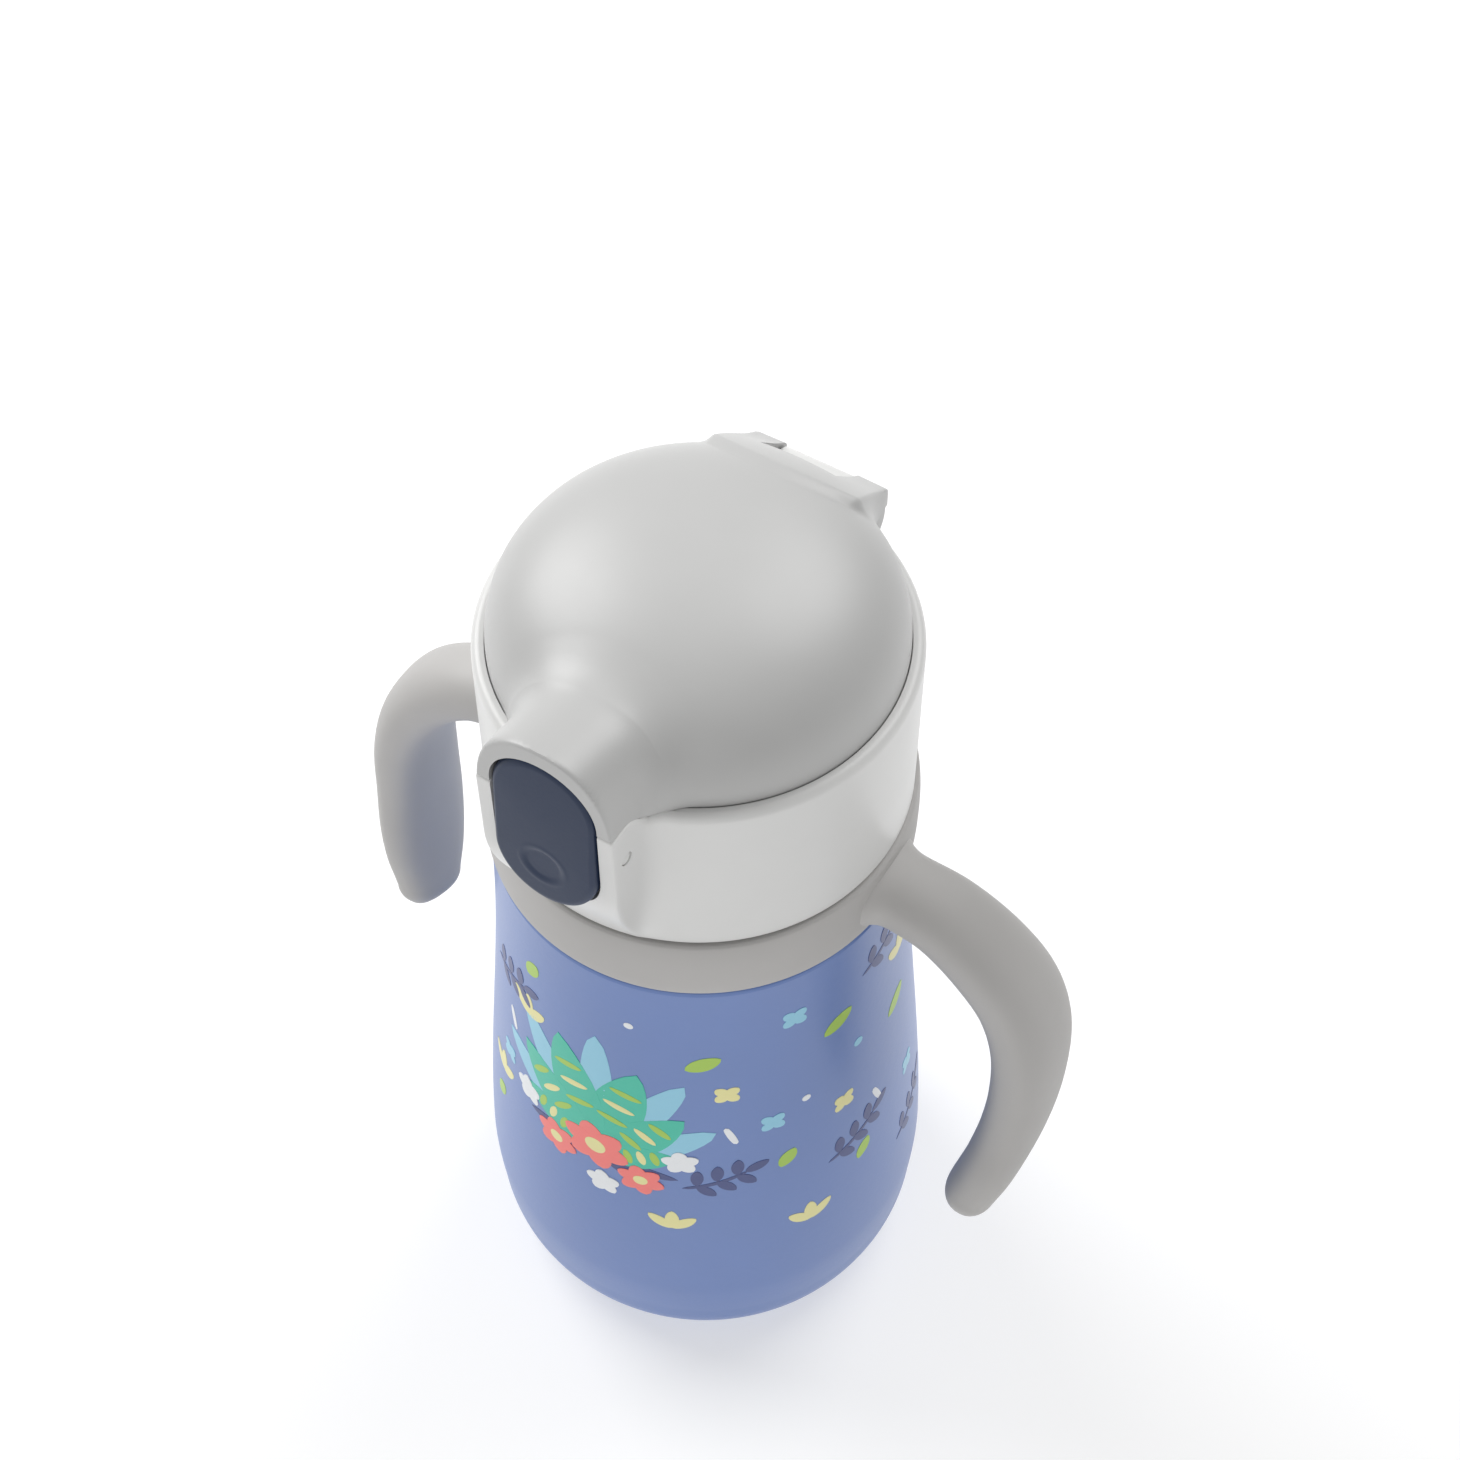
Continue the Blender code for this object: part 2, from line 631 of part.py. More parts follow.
def release_button():
    """Navy rocker that fills the front opening, with a thumb dimple and a latch nose."""
    front = FACE_Y - 0.1
    obj = extruded("release_button", button_outline(), (front, front + 2.6), PARTS)
    for vert in obj.data.vertices:
        vert.co.y -= BUTTON_LEAN * (RIM_Z * MM + 0.012 - vert.co.z)
    soften(obj, 0.6)
    join(obj, cylinder("button_hub", 2.2, (-8.0, ROCKER_Y, ROCKER_Z), (8.0, ROCKER_Y, ROCKER_Z), 20))
    cut(obj, cylinder("hub_bore", ROCKER_PIN_R + RUN, (-12, ROCKER_Y, ROCKER_Z), (12, ROCKER_Y, ROCKER_Z), 16))
    cut(obj, cylinder("thumb_dimple", 3.3, (0, front - 4.0, RIM_Z - 10.0), (0, front - 1.2, RIM_Z - 10.0), 24))
    nose = [(front + 2.4, RIM_Z + 7.0), (front + 4.2, RIM_Z + 9.2), (front + 2.4, RIM_Z + 9.2)]
    join(obj, side_extruded("latch_nose", nose, 3.0))
    return finish(obj, NAVY)


def hood_outline(count=7):
    """Front outline of the hood in (x, z): a low wide arch."""
    low = RIM_Z - 2.5
    shoulder = arc((0.0, RIM_Z + 6.5), (10.4, 10.2), 0, 180, 2 * count - 1)
    return [(FACE_HALF, low), (FACE_HALF, RIM_Z + 4.2)] + shoulder + [(-FACE_HALF, RIM_Z + 4.2), (-FACE_HALF, low)]


def boss_clearance():
    """What the boss takes out of the hood: everything below its upper edge and a gap."""
    raised = [(y, z + GAP) for y, z in boss_side()]
    return [(-30.75, 150.0), (-46.0, 150.0), (-46.0, raised[0][1])] + raised[1:-1] + [(-30.75, RIM_Z + GAP)]


def full_arc(radius, base, rise, count):
    """A crown fuller than an ellipse, from its top down to its edge: a superellipse."""
    angles = np.linspace(math.pi / 2, 0, count)
    power = 2 / 2.35
    return [(radius * math.cos(a) ** power if a < math.pi / 2 else 0.0, base + rise * math.sin(a) ** power)
            for a in angles]


def dome_profile():
    """Outer section of the cover in (radius, height), closed on the axis."""
    top = RIM_Z + COVER_RISE
    crown = full_arc(30.3, RIM_Z, COVER_RISE, 12)
    return [(0.0, top)] + crown[1:] + [(30.3, RIM_Z - 3.0), (0.0, RIM_Z - 3.0)]


def dome_hollow():
    """Inside of the cover in (radius, height), closed on the axis."""
    crown = full_arc(30.3 - SHELL, RIM_Z - 1.0, COVER_RISE + 1.0 - SHELL, 9)
    return [(0.0, RIM_Z + COVER_RISE - SHELL)] + crown[1:] + [(30.3 - SHELL, RIM_Z - 8.0), (0.0, RIM_Z - 8.0)]


def flip_cover():
    """Grey dome with its front hood and the two hinge lugs."""
    obj = turned("flip_cover", dome_profile(), closed=False)
    hood = extruded("hood", hood_outline(), (FACE_Y, -16.0))
    join(obj, hood)
    cut(obj, side_extruded("hood_underside", boss_clearance(), 20.0))
    cut(obj, turned("rim_room", [(48.0, RIM_Z + GAP), (48.0, 150.0), (30.42, 150.0), (30.42, RIM_Z + GAP)],
                    group=CUTTERS))
    cut(obj, turned("dome_hollow", dome_hollow(), 32, CUTTERS, closed=False))
    cut(obj, extruded("hood_window", button_outline(0.35), (-45.0, -34.4)))
    for side in (-1, 1):
        join(obj, cylinder("lug_%d" % (side > 0), HINGE_R, (side * 3.0, HINGE_Y, HINGE_Z),
                           (side * LUG_OUT, HINGE_Y, HINGE_Z), 28))
    cut(obj, box("knuckle_room", (-KNUCKLE_HALF - GAP, HINGE_Y - HINGE_R - GAP, 150.0),
                 (KNUCKLE_HALF + GAP, 40.0, HINGE_Z + HINGE_R + GAP)))
    cut(obj, cylinder("lug_bore", HINGE_PIN_R + RUN, (-LUG_OUT + 0.8, HINGE_Y, HINGE_Z),
                      (LUG_OUT - 0.8, HINGE_Y, HINGE_Z)))
    cut(obj, cylinder("spring_pocket", 2.8, (-9.3, HINGE_Y, HINGE_Z), (-KNUCKLE_HALF, HINGE_Y, HINGE_Z), 24))
    join(obj, turned("seal_socket", [(5.2, 182.2), (5.2, 179.4), (3.5, 179.4), (3.5, 182.2)], 24, CUTTERS))
    return finish(obj, COOL_GREY)


def spout_seal():
    """Silicone pad in the cover that closes the mouthpiece."""
    profile = [(0.0, 181.0), (3.2, 181.0), (3.2, 179.1), (6.6, 179.1), (6.9, 178.4), (6.6, 176.4), (0.0, 176.4)]
    return finish(turned("spout_seal", profile, 24, closed=False), CLEAR_SILICONE)


def build():
    clear_scene()
    for make in (outer_shell, inner_liner, base_cup, vacuum_plug, getter, base_plate, handle_ring,
                 lid_collar, screw_insert, mouth_gasket, spout, straw_adapter, straw, vent_valve,
                 hinge_pin, hinge_spring, button_pin, button_spring):
        make()
    cover_axis = axis_empty("cover_hinge_axis", HINGE_Y, HINGE_Z)
    ride_axis(flip_cover(), cover_axis)
    ride_axis(spout_seal(), cover_axis)
    ride_axis(release_button(), axis_empty("button_axis", ROCKER_Y, ROCKER_Z))


build()
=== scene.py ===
"""Looks of a vacuum-insulated kids' drinking bottle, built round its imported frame.

Frame axes: +Z up, the release button towards -Y, the cover's hinge at +Y, a handle at +X and -X.
Surfaces are worked out with numpy in millimetres and put into their meshes in metres.
"""

import json

import bmesh
import bpy
import numpy as np
from bpy.props import FloatProperty, FloatVectorProperty, IntProperty, PointerProperty
from bpy.types import Operator, Panel, PropertyGroup
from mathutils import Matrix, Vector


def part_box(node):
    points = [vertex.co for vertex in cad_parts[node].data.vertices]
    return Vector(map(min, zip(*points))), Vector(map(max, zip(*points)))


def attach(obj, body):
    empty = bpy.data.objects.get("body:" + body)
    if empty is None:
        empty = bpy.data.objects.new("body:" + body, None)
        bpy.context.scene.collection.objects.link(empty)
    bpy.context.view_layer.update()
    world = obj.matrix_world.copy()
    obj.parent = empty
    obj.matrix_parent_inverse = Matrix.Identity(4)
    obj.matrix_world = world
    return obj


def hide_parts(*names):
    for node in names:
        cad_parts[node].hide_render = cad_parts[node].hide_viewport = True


bl_info = {
    "name": "Kids Drinking Bottle",
    "version": (1, 0, 0),
    "blender": (4, 5, 0),
    "location": "View3D > Sidebar > Bottle",
    "description": "Builds a double-wall drinking bottle with a flip-up lid and two handles",
    "category": "Add Mesh",
}

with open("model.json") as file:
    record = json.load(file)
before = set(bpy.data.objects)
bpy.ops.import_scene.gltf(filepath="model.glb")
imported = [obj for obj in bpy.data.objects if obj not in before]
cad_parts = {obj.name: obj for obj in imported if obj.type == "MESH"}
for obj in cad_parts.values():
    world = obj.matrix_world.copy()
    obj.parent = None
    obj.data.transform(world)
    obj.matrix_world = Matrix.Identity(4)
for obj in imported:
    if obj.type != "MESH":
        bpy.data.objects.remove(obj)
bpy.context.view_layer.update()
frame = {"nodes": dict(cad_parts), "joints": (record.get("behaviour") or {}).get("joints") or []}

MM = 0.001
TAU = 2 * np.pi


def extent(node):
    """Lowest and highest corner of a node of the frame, in millimetres."""
    low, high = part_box(node)
    return np.array(low) / MM, np.array(high) / MM


def axis_of(name):
    """(y, z) of a joint's axis along X, in millimetres."""
    place = next(j for j in frame["joints"] if j["name"] == name)["pos_m"]
    return place[1] / MM, place[2] / MM


# ---- the frame's own sizes, millimetres ----
COVER_TOP = extent("flip_cover")[1][2]
RIM = COVER_TOP - 18.3
COLLAR_FOOT = extent("lid_collar")[0][2]
SHOULDER = RIM - 45.6
RING_LOW, RING_HIGH = SHOULDER + 0.3, COLLAR_FOOT - 0.3
BODY_R = extent("outer_shell")[1][0]
SHOULDER_R = BODY_R - 6.7
WIDEST = 24.0         # height at which the body is widest
CORNER_TOP = 14.0     # height at which its side turns into the foot
FACE = -extent("flip_cover")[0][1]
HINGE_Y, HINGE_Z = axis_of("cover_hinge")
ROCKER_Y, ROCKER_Z = axis_of("button_rocker")
FACE_HALF = 11.1
COLLAR_R = 32.5
DOME_R = 30.4
NECK_R = 27.0
STEEL = 0.8
VACUUM = 2.6          # gap between the two steel walls
THREAD_PITCH, THREAD_TURNS = 4.5, 1.5
LAND_R = 30.65        # inner edge of the collar's rim
DECK_TOP, DECK_FOOT = 154.5, 152.5
BUTTON_HALF = 8.25
BUTTON_BACK = 2.5     # how far the button's back lies behind the face
BUTTON_LEAN = 0.068   # how much its foot stands out for each unit of height
BUTTON_GAP = 0.35     # room round the button
ROCKER_BORE = 1.15
POCKET_FRONT, POCKET_BACK, WINDOW_BACK = -46.0, -32.8, -34.4
PIN_HALF = 11.0       # half length of both pins
VENT = np.array([13.0, -8.0, 0.0])
LUG_R = 5.26          # radius of the lugs' bar
KNUCKLE_R = 5.5       # half size of the collar's tab about the hinge pin
KNUCKLE_ROOM = 6.75   # what the cover leaves free round that tab
TAB_HALF = 6.3        # half width of the cover's slot for the tab
LUG_HALF = 11.4       # half width over both lugs
LUG_BACK = 35.2       # how far back the lugs reach
LUG_RISE = 3.2        # height of the lugs' top at their back, above the rim
LUG_SLOPE = 0.62      # how fast that top climbs towards the dome
NOTCH_HALF = 13.0     # half width of the collar's notch for the lugs
DOME_POWER = 2.35
HOOD_TOP = 16.7       # the hood's crest above the rim, at its face
HOOD_SLOPE = 0.25     # how fast that crest falls behind the face


# ---- colours and sizes that a user would change ----

def colour_prop(name, description, default):
    """A colour with its default, in linear light."""
    return FloatVectorProperty(name=name, description=description, default=default, size=3,
                               min=0.0, max=1.0, subtype="COLOR")


def length_prop(name, description, millimetres):
    """A length with its default."""
    return FloatProperty(name=name, description=description, default=millimetres * MM, min=0.0,
                         subtype="DISTANCE", unit="LENGTH")


class BottleColours(PropertyGroup):
    """Colours of the mouldings, the coat and the printed motifs."""
    coat: colour_prop("Coat", "Powder coat of the flask", (0.118, 0.204, 0.485))
    lid: colour_prop("Lid", "White moulding of the lid", (0.69, 0.69, 0.68))
    cover: colour_prop("Cover", "Cool grey of the flip-up cover", (0.475, 0.475, 0.47))
    grip: colour_prop("Grip", "Warm grey of the ring and handles", (0.445, 0.435, 0.425))
    button: colour_prop("Button", "Navy of the release button", (0.012, 0.026, 0.068))
    natural: colour_prop("Natural", "Uncoloured plastic of the inner pieces", (0.74, 0.75, 0.73))
    silicone: colour_prop("Silicone", "Milky mouthpiece, straw and seals", (0.78, 0.80, 0.80))
    steel: colour_prop("Steel", "Bare steel", (0.74, 0.74, 0.73))
    teal: colour_prop("Teal", "Printed fronds", (0.016, 0.50, 0.35))
    lime: colour_prop("Lime", "Printed small leaves", (0.35, 0.56, 0.045))
    cream: colour_prop("Cream", "Printed pale yellow", (0.78, 0.73, 0.32))
    sky: colour_prop("Sky", "Printed light blue", (0.25, 0.57, 0.74))
    coral: colour_prop("Coral", "Printed blossom", (0.90, 0.17, 0.15))
    navy: colour_prop("Navy", "Printed sprigs", (0.022, 0.042, 0.19))
    chalk: colour_prop("Chalk", "Printed white", (0.80, 0.82, 0.84))


class BottleSizes(PropertyGroup):
    """Sizes of the soft edges, the thread and the print."""
    hood_blend: length_prop("Hood blend", "Radius between the dome and its hood", 6.0)
    face_edge: length_prop("Face edge", "Softness of the hood's front edge", 1.5)
    split_rise: length_prop("Split rise", "Height of the boss above the rim", 4.1)
    thread_crest: length_prop("Thread crest", "How far the neck's thread stands out", 0.85)
    root_flare: length_prop("Root flare", "How far a handle's root spreads on the ring", 2.0)
    print_depth: length_prop("Print depth", "How far the print stands out of the coat", 0.05)
    around: IntProperty(name="Around", description="Columns round a turned piece", default=192,
                        min=48, max=384)


# ---- curves and surfaces ----

def smooth_step(t):
    """3t^2 - 2t^3 with t held between 0 and 1."""
    t = np.clip(t, 0.0, 1.0)
    return t * t * (3 - 2 * t)


def smooth_max(a, b, width):
    """The larger of two values, with a parabola across the width where they cross."""
    h = np.clip(0.5 + 0.5 * (a - b) / width, 0.0, 1.0)
    return b + (a - b) * h + width * h * (1 - h)


def smooth_min(a, b, width):
    """The smaller of two values, with a parabola across the width where they cross."""
    return -smooth_max(-a, -b, width)


def rounded(corners, count=6):
    """A polyline of (x, y, radius) rows whose corners become parabolas.

    Each corner P gives (1-t)^2 A + 2t(1-t) P + t^2 B, with A and B on the two sides at the
    corner's radius from P, or at 0.45 of a shorter side.
    """
    rows = np.array(corners, dtype=float)
    point, radius = rows[:, :2], rows[:, 2:]
    ends = []
    for shift in (1, -1):
        step = np.roll(point, shift, axis=0) - point
        length = np.maximum(np.linalg.norm(step, axis=1, keepdims=True), 1e-9)
        ends.append((point + step / length * np.minimum(radius, 0.45 * length))[:, None])
    t = np.linspace(0, 1, count)[None, :, None]
    curve = (1 - t) ** 2 * ends[0] + 2 * t * (1 - t) * point[:, None] + t ** 2 * ends[1]
    return curve.reshape(-1, 2)


def turn(profile, columns):
    """Rows of a (radius, height) profile carried round Z: (r cos a, r sin a, z)."""
    angle = np.linspace(0, TAU, columns, endpoint=False)
    radius, height = profile[:, 0:1], profile[:, 1:2]
    return np.stack([radius * np.cos(angle), radius * np.sin(angle),
                     height + 0 * angle], axis=-1)


def turn_along_x(profile, centre, columns=48):
    """Rows of an (x, radius) profile carried round an axis along X at (y, z)."""
    angle = np.linspace(0, TAU, columns, endpoint=False)
    x, radius = profile[:, 0:1], profile[:, 1:2]
    return np.stack([x + 0 * angle, centre[0] + radius * np.cos(angle),
                     centre[1] + radius * np.sin(angle)], axis=-1)


def flow(rows, count):
    """Catmull-Rom curve through rows of numbers, count steps to a span."""
    rows = np.array(rows, dtype=float)
    held = np.vstack([2 * rows[0] - rows[1], rows, 2 * rows[-1] - rows[-2]])
    a, b, c, d = (held[i:len(held) - 3 + i, None] for i in range(4))
    t = (np.arange(count) / count)[None, :, None]
    curve = 0.5 * (2 * b + (c - a) * t + (2 * a - 5 * b + 4 * c - d) * t ** 2
                   + (3 * b - 3 * c + d - a) * t ** 3)
    return np.vstack([curve.reshape(-1, rows.shape[1]), rows[-1:]])


def sweep(centres, half_wide, half_thick, across, sides, squareness=1.0):
    """Oval sections along a path: C + A w sgn(cos)|cos|^q + N h sgn(sin)|sin|^q.

    A is the given direction made square to the path and N is square to both.
    """
    tangent = np.gradient(centres, axis=0)
    tangent /= np.linalg.norm(tangent, axis=1, keepdims=True)
    across = np.broadcast_to(across, centres.shape)
    across = across - tangent * np.sum(across * tangent, axis=1, keepdims=True)
    across /= np.linalg.norm(across, axis=1, keepdims=True)
    normal = np.cross(across, tangent)
    angle = np.linspace(0, TAU, sides, endpoint=False)
    wide = np.sign(np.cos(angle)) * np.abs(np.cos(angle)) ** squareness
    thick = np.sign(np.sin(angle)) * np.abs(np.sin(angle)) ** squareness
    return (centres[:, None] + across[:, None] * np.outer(half_wide, wide)[:, :, None]
            + normal[:, None] * np.outer(half_thick, thick)[:, :, None])


def capped(grid):
    """The grid with its first and last row closed by their own centres."""
    first = np.broadcast_to(grid[:1].mean(axis=1, keepdims=True), grid[:1].shape)
    last = np.broadcast_to(grid[-1:].mean(axis=1, keepdims=True), grid[-1:].shape)
    return np.concatenate([first, grid, last])


def quads(rows, columns, close_rows, close_columns):
    """Corner numbers of a grid's faces."""
    number = np.arange(rows * columns).reshape(rows, columns)
    if close_rows:
        number = np.vstack([number, number[:1]])
    if close_columns:
        number = np.hstack([number, number[:, :1]])
    return np.stack([number[:-1, :-1], number[:-1, 1:], number[1:, 1:], number[1:, :-1]],
                    axis=-1).reshape(-1, 4)


def new_object(name, sheets, crease=38.0, outward=True):
    """A mesh object from grids of points; each sheet is (grid, rows closed, columns closed).

    Points that fall together, as at a pole, are merged, a closed piece's faces are turned
    outwards, and edges sharper than the crease angle stay sharp.
    """
    points, faces, start = [], [], 0
    for grid, close_rows, close_columns in sheets:
        rows, columns = grid.shape[:2]
        points.append(grid.reshape(-1, 3))
        faces.append(quads(rows, columns, close_rows, close_columns) + start)
        start += rows * columns
    mesh = bpy.data.meshes.new(name)
    mesh.from_pydata(np.vstack(points) * MM, [], np.vstack(faces))
    work = bmesh.new()
    work.from_mesh(mesh)
    bmesh.ops.remove_doubles(work, verts=work.verts, dist=2e-7)
    bmesh.ops.dissolve_degenerate(work, edges=work.edges, dist=1e-7)
    if outward:
        bmesh.ops.recalc_face_normals(work, faces=work.faces)
    work.to_mesh(mesh)
    work.free()
    if not mesh.polygons:
        raise RuntimeError(f"{name} came out empty")
    obj = bpy.data.objects.new(name, mesh)
    bpy.context.scene.collection.objects.link(obj)
    shade(obj, crease)
    return obj


def shade(obj, crease=38.0):
    """Smooth shading with edges kept sharp beyond an angle in degrees."""
    obj.data.shade_smooth()
    obj.data.set_sharp_from_angle(angle=np.radians(crease))


def carve(obj, *cutters, operation="DIFFERENCE", crease=38.0):
    """Cuts or joins the cutters, applies the result to obj's mesh and removes them."""
    for cutter in cutters:
        mod = obj.modifiers.new("carve", "BOOLEAN")
        mod.operation, mod.object, mod.solver = operation, cutter, "EXACT"
    bpy.context.view_layer.update()
    graph = bpy.context.evaluated_depsgraph_get()
    mesh = bpy.data.meshes.new_from_object(obj.evaluated_get(graph))
    obj.modifiers.clear()
    obj.data = mesh
    for cutter in cutters:
        bpy.data.objects.remove(cutter, do_unlink=True)
    if not mesh.polygons:
        raise RuntimeError(f"{obj.name} was cut away")
    shade(obj, crease)


def slab(name, outline, near, far):
    """A closed (x, z) outline carried along Y from near to far, with flat ends."""
    rows = [np.stack([outline[:, 0], np.full(len(outline), y), outline[:, 1]], axis=-1)
            for y in (near, far)]
    return new_object(name, [(capped(np.array(rows)), False, True)])


def block(name, low, high):
    """A plain box between two corners, used to cut."""
    outline = np.array([(low[0], low[2]), (high[0], low[2]), (high[0], high[2]), (low[0], high[2])])
    return slab(name, outline, low[1], high[1])


def bar(name, half, radius, centre):
    """A plain round bar along X about a (y, z) centre, used to cut."""
    ends = np.array([(-half, 0.0), (-half, radius), (half, radius), (half, 0.0)])
    return new_object(name, [(turn_along_x(ends, centre, 64), False, True)])


def settle(obj, body, material, slot, *nodes):
    """Gives a finished piece its material and body, and hides the nodes it stands for; the slot it is
    handed is not used.
    """
    obj.data.materials.clear()
    obj.data.materials.append(material)
    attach(obj, body)
    if nodes:
        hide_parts(*nodes)
    return obj


# ---- shader maths ----

class Value:
    """A shader socket on which Python's operators add Math nodes."""

    def __init__(self, graph, socket):
        self.graph = graph
        self.socket = socket

    def _math(self, operation, first, second):
        """A Math node on two numbers or sockets."""
        return self.graph.node("ShaderNodeMath", {"operation": operation}, {0: first, 1: second})

    def __add__(self, other):
        return self._math("ADD", self, other)

    def __radd__(self, other):
        return self._math("ADD", other, self)

    def __sub__(self, other):
        return self._math("SUBTRACT", self, other)

    def __rsub__(self, other):
        return self._math("SUBTRACT", other, self)

    def __mul__(self, other):
        return self._math("MULTIPLY", self, other)

    def __rmul__(self, other):
        return self._math("MULTIPLY", other, self)

    def __pow__(self, other):
        return self._math("POWER", self, other)

    def __rpow__(self, other):
        return self._math("POWER", other, self)


class Graph:
    """The nodes of one material, round its Principled shader."""

    def __init__(self, name):
        self.material = bpy.data.materials.new(name)
        self.material.use_nodes = True
        self.tree = self.material.node_tree
        self.shader = self.tree.nodes["Principled BSDF"]

    def feed(self, socket, value):
        """Links a Value to a socket, or sets the socket to a plain value."""
        if isinstance(value, Value):
            self.tree.links.new(value.socket, socket)
        else:
            socket.default_value = value

    def node(self, kind, settings=None, values=None, output=0):
        """A node of a type: its settings first, then its sockets' values or links."""
        made = self.tree.nodes.new(kind)
        for key, value in (settings or {}).items():
            setattr(made, key, value)
        for key, value in (values or {}).items():
            self.feed(made.inputs[key], value)
        return Value(self, made.outputs[output])

    def place(self):
        """The point on the piece in its own coordinates, metres."""
        return self.node("ShaderNodeTexCoord", output="Object")

    def noise(self, point, scale, detail=2.0, rough=0.5):
        """Noise between 0 and 1 at a point, scale features to a metre."""
        return self.node("ShaderNodeTexNoise", {}, {"Vector": point, "Scale": scale, "Detail": detail,
                                                    "Roughness": rough})

    def blend(self, factor, first, second):
        """Two colours mixed by a factor."""
        return self.node("ShaderNodeMix", {"data_type": "RGBA"}, {0: factor, 6: first, 7: second}, 2)

    def relief(self, height, depth, strength=1.0):
        """A Bump node's normal for a height between 0 and 1 that is depth millimetres tall."""
        return self.node("ShaderNodeBump", {}, {"Strength": strength, "Distance": depth * MM,
                                                "Height": height})

    def finish(self, **sockets):
        """Sets the shader's sockets, named with underscores for spaces."""
        for key, value in sockets.items():
            self.feed(self.shader.inputs[key.replace("_", " ")], value)
        return self.material


def tint(colour, factor):
    """The colour times a factor, with alpha."""
    return (*(min(c * factor, 1.0) for c in colour), 1.0)


def moulded(name, colour, roughness, grain=2200.0, depth=0.006, spread=0.08, shift=0.04, **constants):
    """Moulded plastic: a faint drift of tone, a fine spark-eroded grain and uneven gloss."""
    graph = Graph(name)
    place = graph.place()
    drift = graph.noise(place, 45.0, 3.0, 0.6)
    fine = graph.noise(place, grain, 3.0, 0.6)
    smear = graph.noise(place, 160.0, 4.0, 0.65)
    return graph.finish(
        Base_Color=graph.blend(drift, tint(colour, 1 - shift), tint(colour, 1 + shift)),
        Roughness=roughness + (smear - 0.5) * spread + (fine - 0.5) * spread,
        Normal=graph.relief(fine, depth),
        **constants)


def powder_coat(name, colour, roughness=0.36, peel=0.022):
    """Powder coat: a soft orange peel with a finer tooth on it and a slightly cloudy tone."""
    graph = Graph(name)
    place = graph.place()
    cloud = graph.noise(place, 60.0, 4.0, 0.6)
    skin = graph.noise(place, 620.0, 1.5, 0.4)
    tooth = graph.noise(place, 2600.0, 2.0, 0.5)
    height = skin * 0.8 + tooth * 0.2
    return graph.finish(
        Base_Color=graph.blend(cloud, tint(colour, 0.95), tint(colour, 1.05)),
        Roughness=roughness + (cloud - 0.5) * 0.07 + (tooth - 0.5) * 0.10,
        Normal=graph.relief(height, peel),
        Coat_Weight=0.2, Coat_Roughness=0.32)


def brushed_steel(name, colour, roughness=0.28, lines=1400.0):
    """Steel turned on a lathe: fine scratches that run round Z, from noise on (radius, height)."""
    graph = Graph(name)
    place = graph.place()
    split = {axis: graph.node("ShaderNodeSeparateXYZ", {}, {0: place}, axis) for axis in range(3)}
    radius = (split[0] * split[0] + split[1] * split[1]) ** 0.5
    track = graph.node("ShaderNodeCombineXYZ", {}, {0: radius * lines, 1: split[2] * lines, 2: 0.0})
    scratch = graph.noise(track, 1.0, 4.0, 0.7)
    stain = graph.noise(place, 70.0, 3.0, 0.6)
    return graph.finish(
        Base_Color=graph.blend(stain, tint(colour, 0.9), tint(colour, 1.06)),
        Roughness=roughness + (scratch - 0.5) * 0.16 + (stain - 0.5) * 0.08,
        Normal=graph.relief(scratch, 0.008),
        Metallic=1.0)


def drawn_wire(name, colour, roughness=0.22):
    """Drawn spring or pin steel: smooth, with faint die marks."""
    graph = Graph(name)
    place = graph.place()
    marks = graph.noise(place, 1800.0, 3.0, 0.6)
    return graph.finish(
        Base_Color=graph.blend(marks, tint(colour, 0.88), tint(colour, 1.05)),
        Roughness=roughness + (marks - 0.5) * 0.14,
        Normal=graph.relief(marks, 0.004),
        Metallic=1.0)


# ---- flask ----

def body_radius(z):
    """Radius of the wall at a height: a smooth step and a power of the depth below the shoulder,
    drawn in again below the widest level by the square of the distance."""
    t = np.clip((SHOULDER - z) / (SHOULDER - WIDEST), 0.0, 1.0)
    swell = 0.6 * (3 * t ** 2 - 2 * t ** 3) + 0.4 * t ** 1.5
    return SHOULDER_R + (BODY_R - SHOULDER_R) * swell - 0.0045 * np.maximum(WIDEST - z, 0.0) ** 2


def wall(inset, top, low_centre, low_radius, count=70):
    """The flask's side from a height down into a quarter-ellipse corner, moved in by inset."""
    height = np.linspace(top, CORNER_TOP, count)
    side = np.stack([body_radius(height) - inset, height], axis=-1)
    angle = np.radians(np.linspace(-5, -90, 14))
    reach = body_radius(np.array(CORNER_TOP)) - low_centre[0] - inset
    corner = np.stack([low_centre[0] + reach * np.cos(angle),
                       low_centre[1] + low_radius * np.sin(angle)], axis=-1)
    return side, corner


def thread(angle, height, crest):
    """Height of a helical ridge: a bell across the nearest turn, faded in at both ends."""
    first = SHOULDER + 19.0 - THREAD_PITCH * THREAD_TURNS / 2
    phase = (height - first) / THREAD_PITCH - angle / TAU
    nearest = np.round(phase)
    along = angle / TAU + nearest
    fade = smooth_step(along / 0.06) * smooth_step((THREAD_TURNS - along) / 0.06)
    return crest * np.exp(-((phase - nearest) * THREAD_PITCH / 0.75) ** 2) * fade


